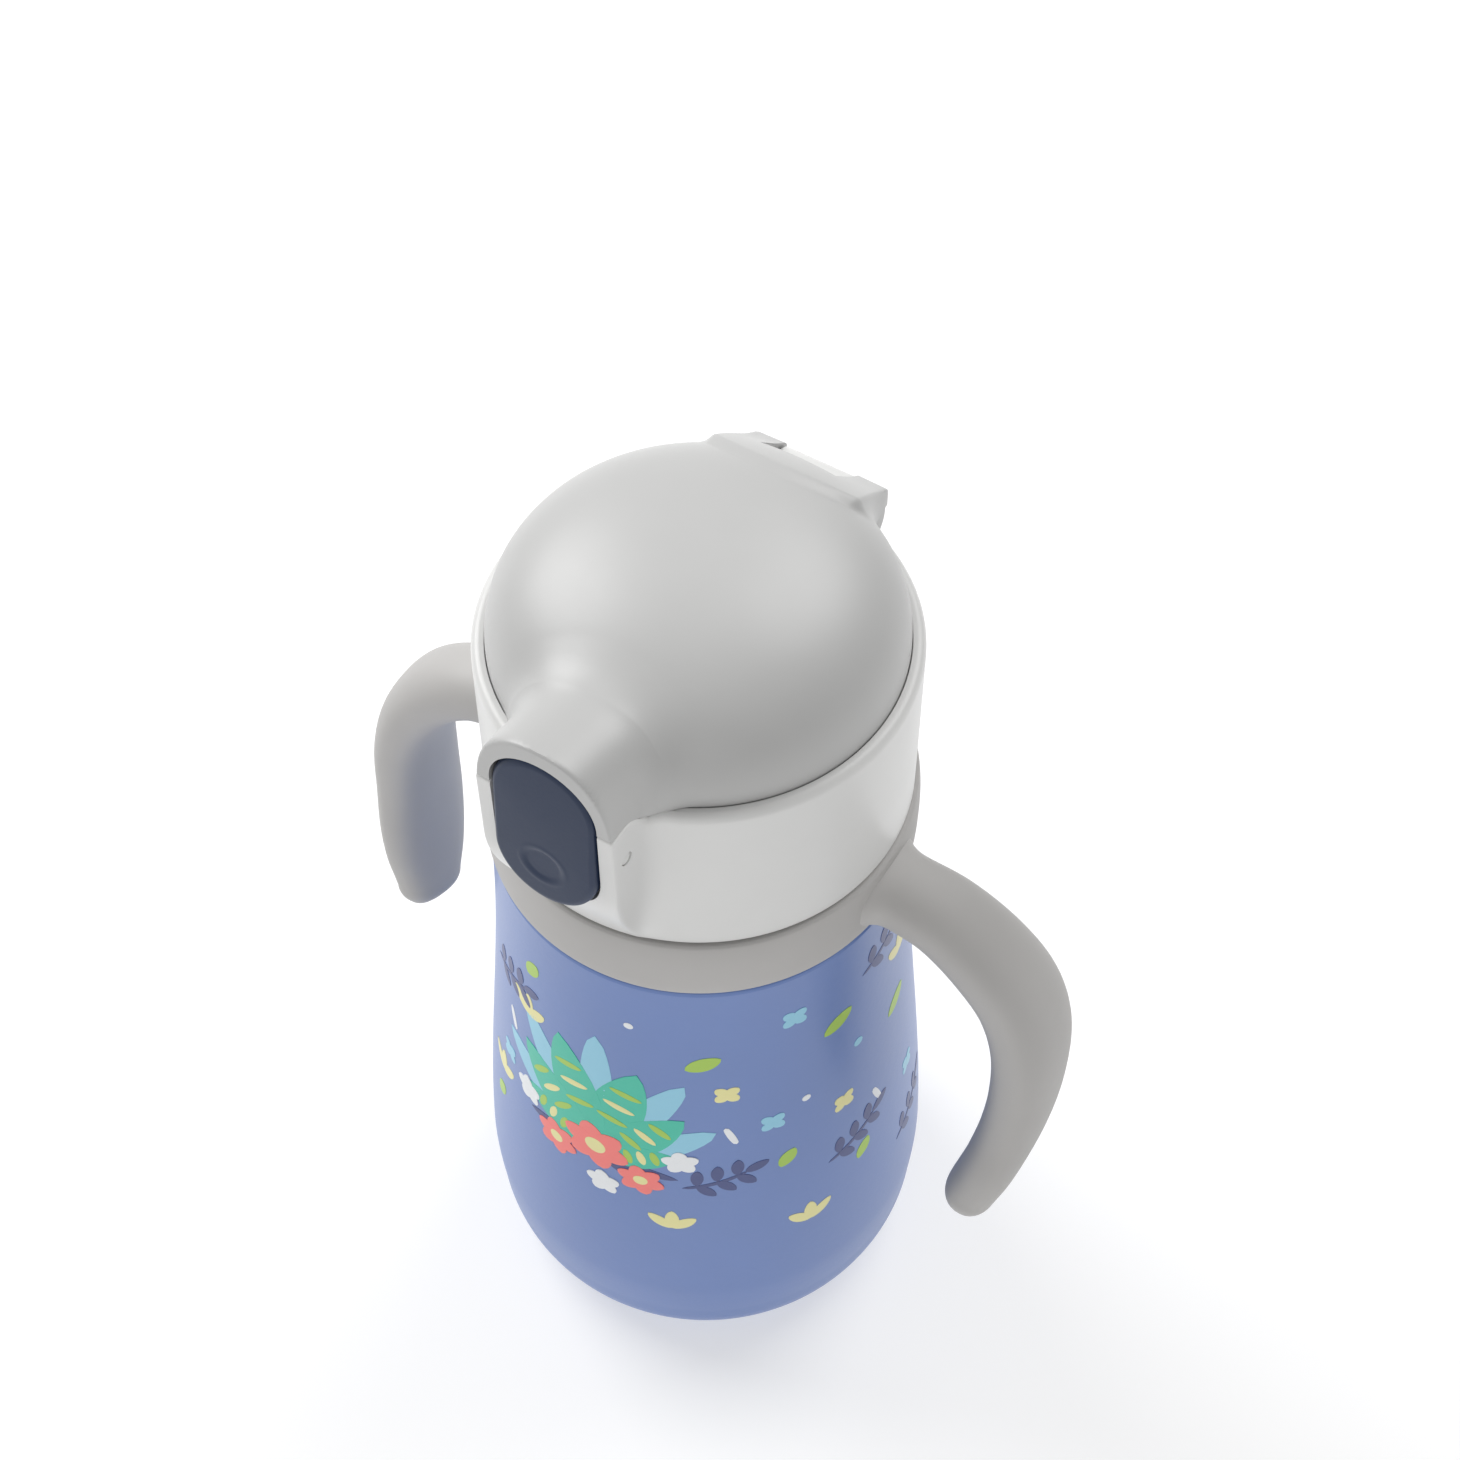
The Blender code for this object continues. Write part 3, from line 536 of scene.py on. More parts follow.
def flask_shell(sizes):
    """Outer wall: the profile carried round Z, with the thread's ridge added to its neck."""
    side, corner = wall(0.0, SHOULDER - 0.9, (26.6, 13.0), 13.0)
    neck = np.stack([np.full(60, NECK_R), np.linspace(SHOULDER + 26.0, SHOULDER + 3.0, 60)], axis=-1)
    shoulder = rounded([(NECK_R, SHOULDER + 3.0, 0), (NECK_R, SHOULDER + 0.2, 1.8),
                        (NECK_R + 2.0, SHOULDER, 1.5), (33.1, SHOULDER, 0.8),
                        (33.32, SHOULDER - 0.9, 0)])
    inside, bend = wall(STEEL, SHOULDER - 2.0, (26.6, 13.0), 12.2, 24)
    back = np.vstack([bend[::-1], inside[::-1], [(31.6, SHOULDER - STEEL), (28.0, SHOULDER - STEEL),
                                                (NECK_R - STEEL, SHOULDER + 2.0),
                                                (NECK_R - STEEL, SHOULDER + 26.4)]])
    profile = np.vstack([[(NECK_R - 0.2, SHOULDER + 26.4)], neck, shoulder, side, corner, back])
    grid = turn(profile, sizes.around)
    angle = np.linspace(0, TAU, sizes.around, endpoint=False)
    ridge = thread(angle[None, :], profile[1:61, 1:2], sizes.thread_crest / MM)
    grid[1:61, :, 0] += ridge * np.cos(angle)
    grid[1:61, :, 1] += ridge * np.sin(angle)
    return new_object("flask_coat", [(grid, True, True)])


def liner_profile():
    """Section of the liner: inside from the floor to the lip, over it and down the outside."""
    inner, low = wall(2 * STEEL + VACUUM, 100.0, (24.0, 18.0), 11.2, 30)
    low[:, 0] = np.minimum(low[:, 0], inner[-1, 0])
    bore = NECK_R - STEEL - 0.3
    inside = np.vstack([[(0, 6.8)], low[::-1], inner[::-1],
                        rounded([(inner[0, 0], 101, 0), (bore + 0.3, 114.0, 3.0),
                                 (bore - STEEL, 119.0, 3.0), (bore - STEEL, 146.6, 0.4),
                                 (bore, 147.0, 0.4), (NECK_R, 147.0, 0.35),
                                 (NECK_R, 146.1, 0.2), (bore, 146.1, 0)])])
    outer, deep = wall(STEEL + VACUUM, 100.0, (24.0, 18.0), 12.0, 30)
    outside = np.vstack([[(bore, 119.0), (bore + 1.2, 114.4)], outer, deep, [(0, 6.0)]])
    return np.vstack([inside, outside])


def base_profile():
    """Pressed disc: flat foot, two shallow ring grooves and a domed middle, closed on the axis."""
    radius = np.linspace(0, 25.7, 120)
    groove = 0.35 * (np.exp(-((radius - 21.5) / 0.7) ** 2) + np.exp(-((radius - 9.0) / 0.6) ** 2))
    dome = 0.5 * (1 - smooth_step((radius - 15.0) / 4.5))
    under = np.stack([radius, dome + groove], axis=-1)
    edge = rounded([(25.7, 0.0, 0), (26.2, 0.1, 0.3), (26.2, 1.9, 0.3), (25.2, 1.9, 0), (0.0, 1.9, 0)])
    return np.vstack([under, edge])


# ---- ring and handles ----

def ring_profile():
    """Crowned band round the neck with soft upper and lower edges."""
    low, high = RING_LOW, RING_HIGH
    outside = flow([(33.1, high - 0.05), (33.5, high - 0.65), (33.8, high - 3.0), (33.9, high - 6.0),
                    (33.85, low + 3.0), (33.6, low + 0.7), (33.2, low + 0.05)], 6)
    return np.vstack([[(29.2, high), (32.9, high)], outside, [(32.9, low), (29.2, low)]])


def handle_rows(side):
    """Centre line of a handle at +X: (x, y, z, half width, half thickness).

    The two differ a little: the -X one stands further forward at its shoulder and is fuller
    towards its tip.
    """
    rows = np.array([(31.0, 0.0, RIM - 39.4, 6.2, 5.4), (37.0, 0.3, RIM - 40.2, 6.1, 5.5),
                     (43.5, 0.9, RIM - 42.3, 6.5, 5.5), (50.3, 1.7, RIM - 48.0, 7.2, 5.5),
                     (55.8, 2.9, RIM - 56.8, 7.8, 5.4), (59.0, 3.3, RIM - 67.5, 8.4, 5.2),
                     (60.1, 2.7, RIM - 79.5, 8.8, 5.0), (60.0, 0.7, RIM - 90.0, 8.7, 4.9),
                     (59.0, -3.2, RIM - 99.0, 7.6, 4.7), (57.4, -6.4, RIM - 106.0, 6.0, 4.4)])
    if side < 0:
        rows[:, 1] = (0.0, 0.1, 0.2, 0.3, 0.6, 1.0, 1.2, 0.4, -1.2, -3.6)
        rows[:, 3] = (6.2, 6.1, 6.4, 7.0, 7.8, 8.6, 9.2, 9.6, 8.8, 6.6)
    return rows


def handle(side, flare):
    """An oval section carried along the handle, spread at its root and rounded off at its tip."""
    rows = flow(handle_rows(side), 14)
    spread = flare * (1 - np.clip((rows[:, 0] - 32.6) / 4.2, 0, 1)) ** 2.6
    rows[:, 3] += spread
    rows[:, 4] += spread * 0.25
    angle = np.radians(np.linspace(0, 90, 14))[1:, None]
    tip = rows[-1]
    direction = (tip[:3] - rows[-2, :3]) / np.linalg.norm(tip[:3] - rows[-2, :3])
    centre = tip[:3] + direction * tip[4] * np.sin(angle)
    shrink = tip[3:] - tip[4] * (1 - np.cos(angle))
    centres = np.vstack([rows[:, :3], centre])
    sizes = np.vstack([rows[:, 3:], np.maximum(shrink, 0.0)])
    grid = capped(sweep(centres, sizes[:, 0], sizes[:, 1], np.array([0.0, 1.0, 0.0]), 72, 0.82))
    return grid * np.array([side, 1.0, 1.0])


# ---- lid ----

def split_height(y, rise):
    """Height of the line between boss and hood: rim plus a rise that fades back from the face."""
    return RIM + rise * (1 - smooth_step((y + FACE - 2.6) / 7.9))


def boss_radius(angle):
    """Distance from Z to the boss's outline, the angle taken from -Y.

    The nearer of the flat face, f / cos a, and the side, h / |sin a|, with a soft corner.
    """
    face = np.where(np.cos(angle) > 0.1, FACE / np.maximum(np.cos(angle), 0.1), 90.0)
    side = FACE_HALF / np.maximum(np.abs(np.sin(angle)), 1e-4)
    near = smooth_min(face, side, 1.3)
    return np.where(np.cos(angle) > 0.1, near, 0.0)


def lid_angles():
    """Columns round the lid from -Y, close together at the boss's sides and over the hinge."""
    half = np.concatenate([np.linspace(0, 13, 24)[:-1], np.linspace(13, 22, 60)[:-1],
                           np.linspace(22, 30, 12)[:-1], np.linspace(30, 150, 70)[:-1],
                           np.linspace(150, 180, 44)[:-1]])
    return np.radians(np.concatenate([half, [180.0], 360 - half[:0:-1]]))


def collar_grid(rise):
    """The collar as rows over columns of angles.

    Outside, the radius is the larger of the round wall and the boss's outline, the latter drawn
    in to the round by sin^1.1 of the height between foot and chin. On top, the rows run in at
    the split line's height with a quarter round at either edge; inside they follow a fixed
    (radius, height) profile down to the deck and the skirt.
    """
    angle = lid_angles()[None, :]
    share = np.linspace(0, 1, 54)[:, None] ** 0.9
    reach = boss_radius(angle)
    top_y = -np.maximum(reach, COLLAR_R) * np.cos(angle)
    top = split_height(top_y, rise)
    edge = np.where(top > RIM + 1.0, 0.7, 1.3)
    height = COLLAR_FOOT + 0.5 + (top - edge - COLLAR_FOOT - 0.5) * share
    flatness = np.sin(np.clip((height - COLLAR_FOOT) / 22.0, 0, 1) * np.pi / 2) ** 1.1
    round_wall = COLLAR_R + 0.3 * (RIM - height) / (RIM - COLLAR_FOOT)
    full = smooth_max(round_wall, np.broadcast_to(reach, height.shape), 6.5)
    radius = round_wall + (full - round_wall) * flatness
    foot = np.radians(np.linspace(-90, 0, 5))[:, None]
    foot_r = radius[:1] - 0.5 + 0.5 * np.cos(foot)
    foot_z = COLLAR_FOOT + 0.5 + 0.5 * np.sin(foot) + 0 * angle
    bend = np.radians(np.linspace(0, 90, 8))[1:, None]
    over_r = radius[-1:] - edge * (1 - np.cos(bend))
    over_z = top - edge * (1 - np.sin(bend))
    inward = np.linspace(0, 1, 12)[1:, None]
    land_r = over_r[-1:] + (LAND_R - over_r[-1:]) * inward
    land_z = split_height(-land_r * np.cos(angle), rise)
    inner = rounded([(30.5, RIM - 0.6, 0), (30.5, RIM - 3.4, 0.3), (30.7, RIM - 4.0, 0),
                     (30.7, DECK_TOP, 1.2), (8.6, DECK_TOP, 0.3), (8.6, DECK_FOOT, 0.3),
                     (30.8, DECK_FOOT, 0.3),
                     (30.8, COLLAR_FOOT, 0.3), (31.6, COLLAR_FOOT, 0)])
    lip = np.radians(np.linspace(0, 90, 5))[1:, None]
    lip_r = LAND_R - 0.15 * np.sin(lip) + 0 * angle
    lip_z = land_z[-1:] - 0.2 * (1 - np.cos(lip))
    columns = angle.shape[1]
    radius = np.vstack([foot_r, radius, over_r, land_r, lip_r, np.repeat(inner[:, :1], columns, 1)])
    height = np.vstack([foot_z, height, over_z, land_z, lip_z, np.repeat(inner[:, 1:], columns, 1)])
    return np.stack([radius * np.sin(angle), -radius * np.cos(angle), height], axis=-1)


def button_outline(grow, count=48):
    """(x, z) outline with straight sides and an elliptical arch at each end.

    Growing it opens the foot nearly twice as far, where the tilting button swings down.
    """
    half = BUTTON_HALF + grow
    upper = np.radians(np.linspace(0, 180, count))
    lower = np.radians(np.linspace(180, 360, count))
    return np.vstack([
        np.stack([half * np.cos(upper), RIM + 4.8 + (8.5 + grow) * np.sin(upper)], axis=-1),
        np.stack([half * np.cos(lower), RIM - 7.5 + (9.1 + 1.9 * grow) * np.sin(lower)], axis=-1)])


def knuckle():
    """The hinge's tab: a (y, z) outline, a superellipse over the pin, carried along X."""
    angle = np.radians(np.linspace(-40, 200, 60))
    along = np.sign(np.cos(angle)) * np.abs(np.cos(angle)) ** 0.59
    rise = np.sign(np.sin(angle)) * np.abs(np.sin(angle)) ** 0.59
    ring = np.stack([HINGE_Y + KNUCKLE_R * along, HINGE_Z + KNUCKLE_R * rise], axis=-1)
    outline = np.vstack([ring, [(HINGE_Y - 3.0, 157.0), (HINGE_Y - 3.0, 154.3), (HINGE_Y + 2.0, 154.3),
                                (HINGE_Y + 2.6, 158.5)]])
    centre = outline.mean(axis=0)
    steps = np.array([(-6.0, 0.95), (-5.85, 0.98), (-5.5, 1.0), (5.5, 1.0), (5.85, 0.98), (6.0, 0.95)])
    spread = centre + (outline - centre)[None] * steps[:, 1:, None]
    x = np.broadcast_to(steps[:, :1], spread.shape[:2])
    return capped(np.stack([x, spread[..., 0], spread[..., 1]], axis=-1))


# ---- cover ----

def cover_reach(angle, rise, sizes):
    """Distance from the rim's centre to the cover along a heading and an elevation.

    The dome is a superellipse of DOME_POWER. The hood is the nearer of the flat face and an
    arch, a superellipse of power 2.5 in x and z whose crest falls away behind the face, and
    counts only towards the front. The hinge's lugs are the nearest of a back, a sloping top and
    two end planes. Each joins the last by a smooth maximum, the hood's growing wider with the
    depth behind its face.
    """
    ahead, aside = np.cos(angle) * np.cos(rise), np.abs(np.sin(angle) * np.cos(rise))
    up = np.maximum(np.sin(rise), 0.0)
    dome = ((np.cos(rise) / DOME_R) ** DOME_POWER
            + (up / (COVER_TOP - RIM)) ** DOME_POWER) ** (-1 / DOME_POWER)
    face = FACE / np.maximum(ahead, 0.05)
    arch = face
    for _ in range(6):
        crest = HOOD_TOP - HOOD_SLOPE * (FACE - ahead * np.minimum(arch, face))
        crest = np.maximum(crest, 1.0)
        arch = ((aside / FACE_HALF) ** 2.5 + (up / crest) ** 2.5 + 1e-9) ** (-1 / 2.5)
    hood = smooth_min(face, arch, sizes.face_edge / MM) * smooth_step((ahead - 0.45) / 0.35)
    behind = LUG_BACK / np.maximum(-np.cos(angle) * np.cos(rise), 0.05)
    ends = LUG_HALF / np.maximum(aside, 1e-4)
    over = (LUG_RISE + LUG_SLOPE * LUG_BACK) / np.maximum(up - LUG_SLOPE * ahead, 0.05)
    lug = smooth_min(smooth_min(behind, over, 1.4), ends, 1.4) * smooth_step((-ahead - 0.70) / 0.12)
    width = sizes.hood_blend / MM * (0.5 + np.clip((FACE - ahead * hood) / 13.0, 0.0, 1.2))
    return smooth_max(smooth_max(dome, hood, width), lug, 7.0)


def cover_grid(sizes):
    """The cover as rows from its crown down the outside, under its edge, and up the hollow."""
    split = sizes.split_rise / MM
    angle = lid_angles()[None, :]
    lean = np.concatenate([np.linspace(0, 0.68, 46)[:-1], np.linspace(0.68, 0.88, 60)[:-1],
                           np.linspace(0.88, 1, 24)])[:, None]
    edge = cover_reach(angle, 0.01 + 0 * angle, sizes)
    for _ in range(3):
        low = split_height(-edge * np.cos(angle), split) + 0.1
        lowest = np.arctan2(low - RIM, edge)
        edge = cover_reach(angle, lowest, sizes) * np.cos(lowest)
    rise = np.pi / 2 + (lowest - np.pi / 2) * lean
    reach = cover_reach(angle, rise, sizes)
    radius, height = reach * np.cos(rise), RIM + reach * np.sin(rise)
    inward = np.linspace(0, 1, 10)[1:, None]
    under_r = radius[-1:] + (DOME_R - 0.02 - radius[-1:]) * inward
    under_z = split_height(-under_r * np.cos(angle), split) + 0.1
    skirt = rounded([(DOME_R - 0.02, RIM - 0.2, 0), (DOME_R - 0.02, RIM - 3.0, 0.5),
                     (DOME_R - 2.0, RIM - 3.0, 0.5), (DOME_R - 2.0, RIM - 1.0, 0)])
    lift = np.linspace(0, np.pi / 2, 36)
    bend = 2 / DOME_POWER
    hollow = np.stack([(DOME_R - 2.0) * np.cos(lift) ** bend, RIM - 1.0 + 17.3 * np.sin(lift) ** bend],
                      axis=-1)
    hollow[-1, 0] = 0.0
    lower = np.vstack([skirt, hollow])
    radii = np.vstack([radius, under_r, np.repeat(lower[:, :1], angle.shape[1], 1)])
    heights = np.vstack([height, under_z, np.repeat(lower[:, 1:], angle.shape[1], 1)])
    return np.stack([radii * np.sin(angle), -radii * np.cos(angle), heights], axis=-1)


def lug(side):
    """Round bar about the hinge's axis beside the knuckle, with a soft outer end."""
    near, far = side * TAB_HALF, side * (LUG_HALF - 0.1)
    profile = rounded([(near, 0.0, 0), (near, LUG_R, 0.3), (far, LUG_R, 1.2), (far, 0.0, 0)])
    return turn_along_x(profile, (HINGE_Y, HINGE_Z), 72)


def button_grid():
    """The button's front, side and back over its outline.

    Rows shrink the outline towards its centre by s. The front leans out towards the foot, is
    crowned by 1 - s^2, turns over its edge as a quarter ellipse, and has a shallow round
    depression; the back is the same without the crown.
    """
    outline = button_outline(0.0, 80)
    centre = np.array([0.0, RIM - 1.4])
    turned = np.radians(np.linspace(0, 90, 10))[1:]
    share = np.concatenate([np.linspace(0, 0.9, 64), 1 - 0.1 * np.cos(turned)])
    spread = centre + (outline - centre)[None] * share[:, None, None]
    x, z = spread[..., 0], spread[..., 1]
    lean = -BUTTON_LEAN * (RIM + 12.0 - z)
    edge = 1 - np.sqrt(np.maximum(1 - (np.clip(share - 0.9, 0, 0.1) / 0.1) ** 2, 0.0))
    crown = 0.35 * share ** 2
    away = np.hypot(x, z - (RIM - 8.0))
    dip = 0.22 * (1 - smooth_step((away - 2.5) / 1.0))
    ring = 0.05 * np.exp(-((away - 3.8) / 0.35) ** 2)
    front = -FACE - 0.1 + lean + (edge * 0.9 + crown)[:, None] + dip - ring
    back = np.broadcast_to(-FACE + BUTTON_BACK + lean[-1:], x[-1:].shape)
    grid = np.stack([x, front, z], axis=-1)
    back_row = np.stack([x[-1:], back, z[-1:]], axis=-1)
    hub = np.array([0.0, -FACE + BUTTON_BACK - BUTTON_LEAN * 13.4, centre[1]])
    middle = np.broadcast_to(hub, back_row.shape)
    return np.concatenate([grid, back_row, middle])


def coil(centre, axis, radius, wire, length, turns):
    """Round wire along a helix: (t, r cos a, r sin a) in the axis's own order."""
    t = np.linspace(0, 1, int(turns * 28) + 1)
    angle = TAU * turns * t
    parts = [radius * np.cos(angle), radius * np.sin(angle)]
    parts.insert("XYZ".index(axis), (t - 0.5) * length)
    path = np.array(centre) + np.stack(parts, axis=-1)
    across = np.zeros(3)
    across["XYZ".index(axis)] = 1.0
    flat = np.full(len(t), wire)
    return capped(sweep(path, flat, flat, across, 14))


# ---- print ----

def on_wall(angle, height, right, rise, lift):
    """Points right and above a place on the flask's wall, lifted off it.

    The place is an angle from -Y towards +X, in degrees, and a height; going right by a length
    adds length / radius to the angle.
    """
    z = height + rise
    radius = body_radius(z)
    turned = np.radians(angle) + right / radius
    out = radius + lift
    return np.stack([out * np.sin(turned), -out * np.cos(turned), z], axis=-1)


def leaf(length, width, fullness=0.8, bend=0.0):
    """Flat leaf from its stalk: x = s w sin(pi t)^f / 2 + bend sin(pi t), y = length t."""
    t = np.linspace(0, 1, 15)[:, None]
    s = np.linspace(-1, 1, 5)[None, :]
    x = s * width / 2 * np.sin(np.pi * t) ** fullness + bend * np.sin(np.pi * t)
    return np.stack([x, length * t + 0 * s], axis=-1)


def dot(radius):
    """Flat disc: r (cos a, sin a) over rows of r and columns of a."""
    r = np.linspace(0, radius, 3)[:, None]
    a = np.linspace(TAU, 0, 21)[None, :]
    return np.stack([r * np.cos(a), r * np.sin(a)], axis=-1)


def placed(shape, right, rise, degrees):
    """A flat shape turned anticlockwise and moved."""
    a = np.radians(degrees)
    x, y = shape[..., 0], shape[..., 1]
    return np.stack([right + x * np.cos(a) - y * np.sin(a),
                     rise + x * np.sin(a) + y * np.cos(a)], axis=-1)


def blossom(petals, length, width, start=0.0):
    """Petals round a middle, each starting from it."""
    return [placed(leaf(length, width, 0.55), 0, 0, start + 360 * k / petals) for k in range(petals)]


def at(shapes, right, rise):
    """The shapes moved right and up."""
    return [shape + np.array([right, rise]) for shape in shapes]


def print_layout():
    """Every motif by its ink: (angle, height, layer, flat shapes), the shapes in millimetres."""
    ink = {name: [] for name in ("teal", "lime", "cream", "sky", "coral", "navy", "chalk")}
    for centre in (2.0, 182.0):
        bunch = (centre, 66.0)
        spread = ((-74, 15, 6.5), (-44, 22, 8.5), (-15, 28, 9.5),
                  (15, 29, 9.5), (44, 23, 8.5), (74, 16, 6.5))
        ink["teal"] += [(*bunch, 1, [placed(leaf(size, width, 0.7), 0, 0, degrees)])
                        for degrees, size, width in spread]
        for degrees, size, width in spread:
            a = np.radians(degrees + 90)
            for share, mark in ((0.42, "lime"), (0.58, "cream"), (0.74, "lime")):
                shape = placed(leaf(width * 0.62, 1.5, 0.5), 0, -width * 0.31, 0)
                right, rise = size * share * np.cos(a), size * share * np.sin(a)
                ink[mark].append((*bunch, 2, [placed(shape, right, rise, degrees + 90)]))
        ink["sky"] += [(*bunch, 0, [placed(leaf(size, 6.4, 0.5), 0, 0, degrees)])
                       for degrees, size in ((-59, 24), (-30, 30), (0, 34), (30, 31), (59, 25))]
        ink["navy"] += [(*bunch, 0, [placed(leaf(size, 2.6, 0.6), 0, 0, degrees)])
                        for degrees, size in ((-100, 15), (100, 15), (-122, 11), (122, 11))]
        ink["coral"] += [(*bunch, 3, at(blossom(6, size, size * 0.72, 15), right, rise))
                         for right, rise, size in ((0, 1, 6.4), (8.4, -4.6, 4.3), (-8.2, -4.2, 4.5))]
        ink["cream"] += [(*bunch, 4, at([dot(size)], right, rise))
                         for right, rise, size in ((0, 1, 2.0), (8.4, -4.6, 1.3), (-8.2, -4.2, 1.4))]
        ink["chalk"] += [(*bunch, 3, at(blossom(5, 3.3, 2.7, 8), right, rise))
                         for right, rise in ((1.6, -9.4), (-15.5, 1.5), (15.0, 3.0))]
    trio = [placed(leaf(5.6, 2.5, 0.6), 0, 0, spin) for spin in (-48, 0, 48)]
    single = [placed(leaf(6.6, 3.4, 0.6), 0, 0, -60)]
    small = [placed(leaf(5.2, 3.0, 0.6), 0, 0, -30)]
    sprig = [placed(leaf(12.0, 0.9, 0.2, 0.5), 0, 0, -68), placed(leaf(4.6, 2.3, 0.6), 10.6, 4.4, -62)]
    sprig += [placed(leaf(4.6, 2.2, 0.6), 2.4 + step * 3.4, 1.0 + step * 1.4, -68 + side * 66)
              for step in range(3) for side in (-1, 1)]
    bar = [placed(leaf(5.4, 1.3, 0.25), 0, 0, 20)]
    bud = blossom(4, 2.6, 2.1, 45)
    for turned in (0, 180):
        ink["lime"] += [(angle + turned, height, 0, shapes) for angle, height, shapes in
                        ((27.0, 97.0, single), (52.0, 64.0, small), (-23, 103, small), (66, 97, single),
                         (76, 52, small), (92, 84, single), (-40, 50, small))]
        ink["cream"] += [(angle + turned, height, 0, shapes) for angle, height, shapes in
                         ((38.1, 89.5, bud), (23.2, 47.5, trio), (-23, 90.5, trio), (60, 43, trio),
                          (72, 74, bud), (100, 98, trio), (-37, 60, trio))]
        ink["chalk"] += [(angle + turned, height, 0, shapes) for angle, height, shapes in
                         ((40.4, 74.5, bar), (60, 82, [dot(0.8)]), (-29.4, 80, bar), (86, 64, bar),
                          (12, 107, [dot(0.8)]))]
        ink["sky"] += [(angle + turned, height, 0, shapes) for angle, height, shapes in
                       ((50.3, 78.6, bud), (-33, 70.0, bud), (57, 107, bud), (78, 88, [dot(1.0)]),
                        (102, 60, bud))]
        ink["navy"] += [(angle + turned, height, 0, sprig) for angle, height in
                        ((26, 61.0), (66, 58.0), (-43, 92.0), (80, 106.0), (93, 42.0))]
    return ink


def printed(name, ink, depth):
    """One ink's motifs as sheets over the wall, thickened inwards into it.

    Each layer stands half a depth further out than the one below it, and the shapes of one
    motif stand a hair apart where they cross.
    """
    sheets = [(on_wall(angle, height, shape[..., 0], shape[..., 1],
                       depth * (1 + 0.5 * layer + 0.06 * k)), False, False)
              for angle, height, layer, shapes in ink for k, shape in enumerate(shapes)]
    obj = new_object(name, sheets, outward=False)
    mesh = obj.data
    edge = np.empty(len(mesh.loops), dtype=np.int32)
    mesh.loops.foreach_get("edge_index", edge)
    mesh.edges.foreach_set("use_edge_sharp", np.bincount(edge, minlength=len(mesh.edges)) == 1)
    body = obj.modifiers.new("thickness", "SOLIDIFY")
    body.thickness, body.offset = 4 * depth * MM, -1.0
    return obj


# ---- makers ----

def settings(context):
    """The scene's sizes and colours."""
    return context.scene.bottle_sizes, context.scene.bottle_colours


class BOTTLE_OT_flask(Operator):
    """Painted outer wall with its threaded neck, and the bare steel liner and base disc"""
    bl_idname = "bottle.flask"
    bl_label = "Flask"

    def execute(self, context):
        sizes, colours = settings(context)
        settle(flask_shell(sizes), "flask", powder_coat("flask powder coat", colours.coat),
               "painted_body", "outer_shell")
        liner = new_object("liner", [(turn(liner_profile(), sizes.around), False, True)])
        settle(liner, "flask", brushed_steel("liner steel", colours.steel), "raw_steel", "inner_liner")
        base = new_object("base_disc", [(turn(base_profile(), sizes.around), False, True)])
        settle(base, "flask", brushed_steel("base steel", colours.steel, 0.32, 900.0), "raw_steel",
               "base_plate")
        for node, look in (("base_cup", brushed_steel("cup steel", colours.steel, 0.4)),
                           ("vacuum_plug", drawn_wire("solder glass", (0.16, 0.15, 0.15), 0.3)),
                           ("getter", drawn_wire("getter metal", (0.35, 0.35, 0.34), 0.55))):
            frame["nodes"][node].data.materials.clear()
            frame["nodes"][node].data.materials.append(look)
        return {"FINISHED"}


class BOTTLE_OT_print(Operator):
    """Leaves, blossoms and sprigs printed on the flask, one piece for each ink"""
    bl_idname = "bottle.print"
    bl_label = "Print"

    def execute(self, context):
        sizes, colours = settings(context)
        depth = sizes.print_depth / MM
        for name, ink in print_layout().items():
            obj = printed("print_" + name, ink, depth)
            settle(obj, "flask", powder_coat("ink " + name, getattr(colours, name), 0.40, 0.016),
                   "painted_body")
        return {"FINISHED"}


class BOTTLE_OT_handles(Operator):
    """Crowned ring with a rounded handle on each side"""
    bl_idname = "bottle.handles"
    bl_label = "Handles"

    def execute(self, context):
        sizes, colours = settings(context)
        flare = sizes.root_flare / MM
        ring = new_object("ring_and_handles", [(turn(ring_profile(), sizes.around), True, True),
                                               (handle(1, flare), False, True),
                                               (handle(-1, flare), False, True)])
        settle(ring, "handles",
               moulded("soft-touch grey", colours.grip, 0.58, 1500.0, 0.012, 0.10, 0.035),
               "soft_grey", "handle_ring")
        return {"FINISHED"}


class BOTTLE_OT_collar(Operator):
    """White lid body with its rim, front boss, deck and hinge tab"""
    bl_idname = "bottle.collar"
    bl_label = "Collar"

    def execute(self, context):
        sizes, colours = settings(context)
        collar = new_object("collar", [(collar_grid(sizes.split_rise / MM), True, True)])
        carve(collar,
              slab("pocket", button_outline(BUTTON_GAP), POCKET_FRONT, POCKET_BACK),
              block("notch", (-NOTCH_HALF, HINGE_Y - 5.8, HINGE_Z - 5.8), (NOTCH_HALF, 40.0, 172.0)),
              bar("bore", 15.0, ROCKER_BORE, (ROCKER_Y, ROCKER_Z)))
        tab = new_object("tab", [(knuckle(), False, True)])
        carve(collar, tab, operation="UNION")
        settle(collar, "lid", moulded("white lid plastic", colours.lid, 0.34, 2400.0, 0.005),
               "white_plastic", "lid_collar")
        return {"FINISHED"}


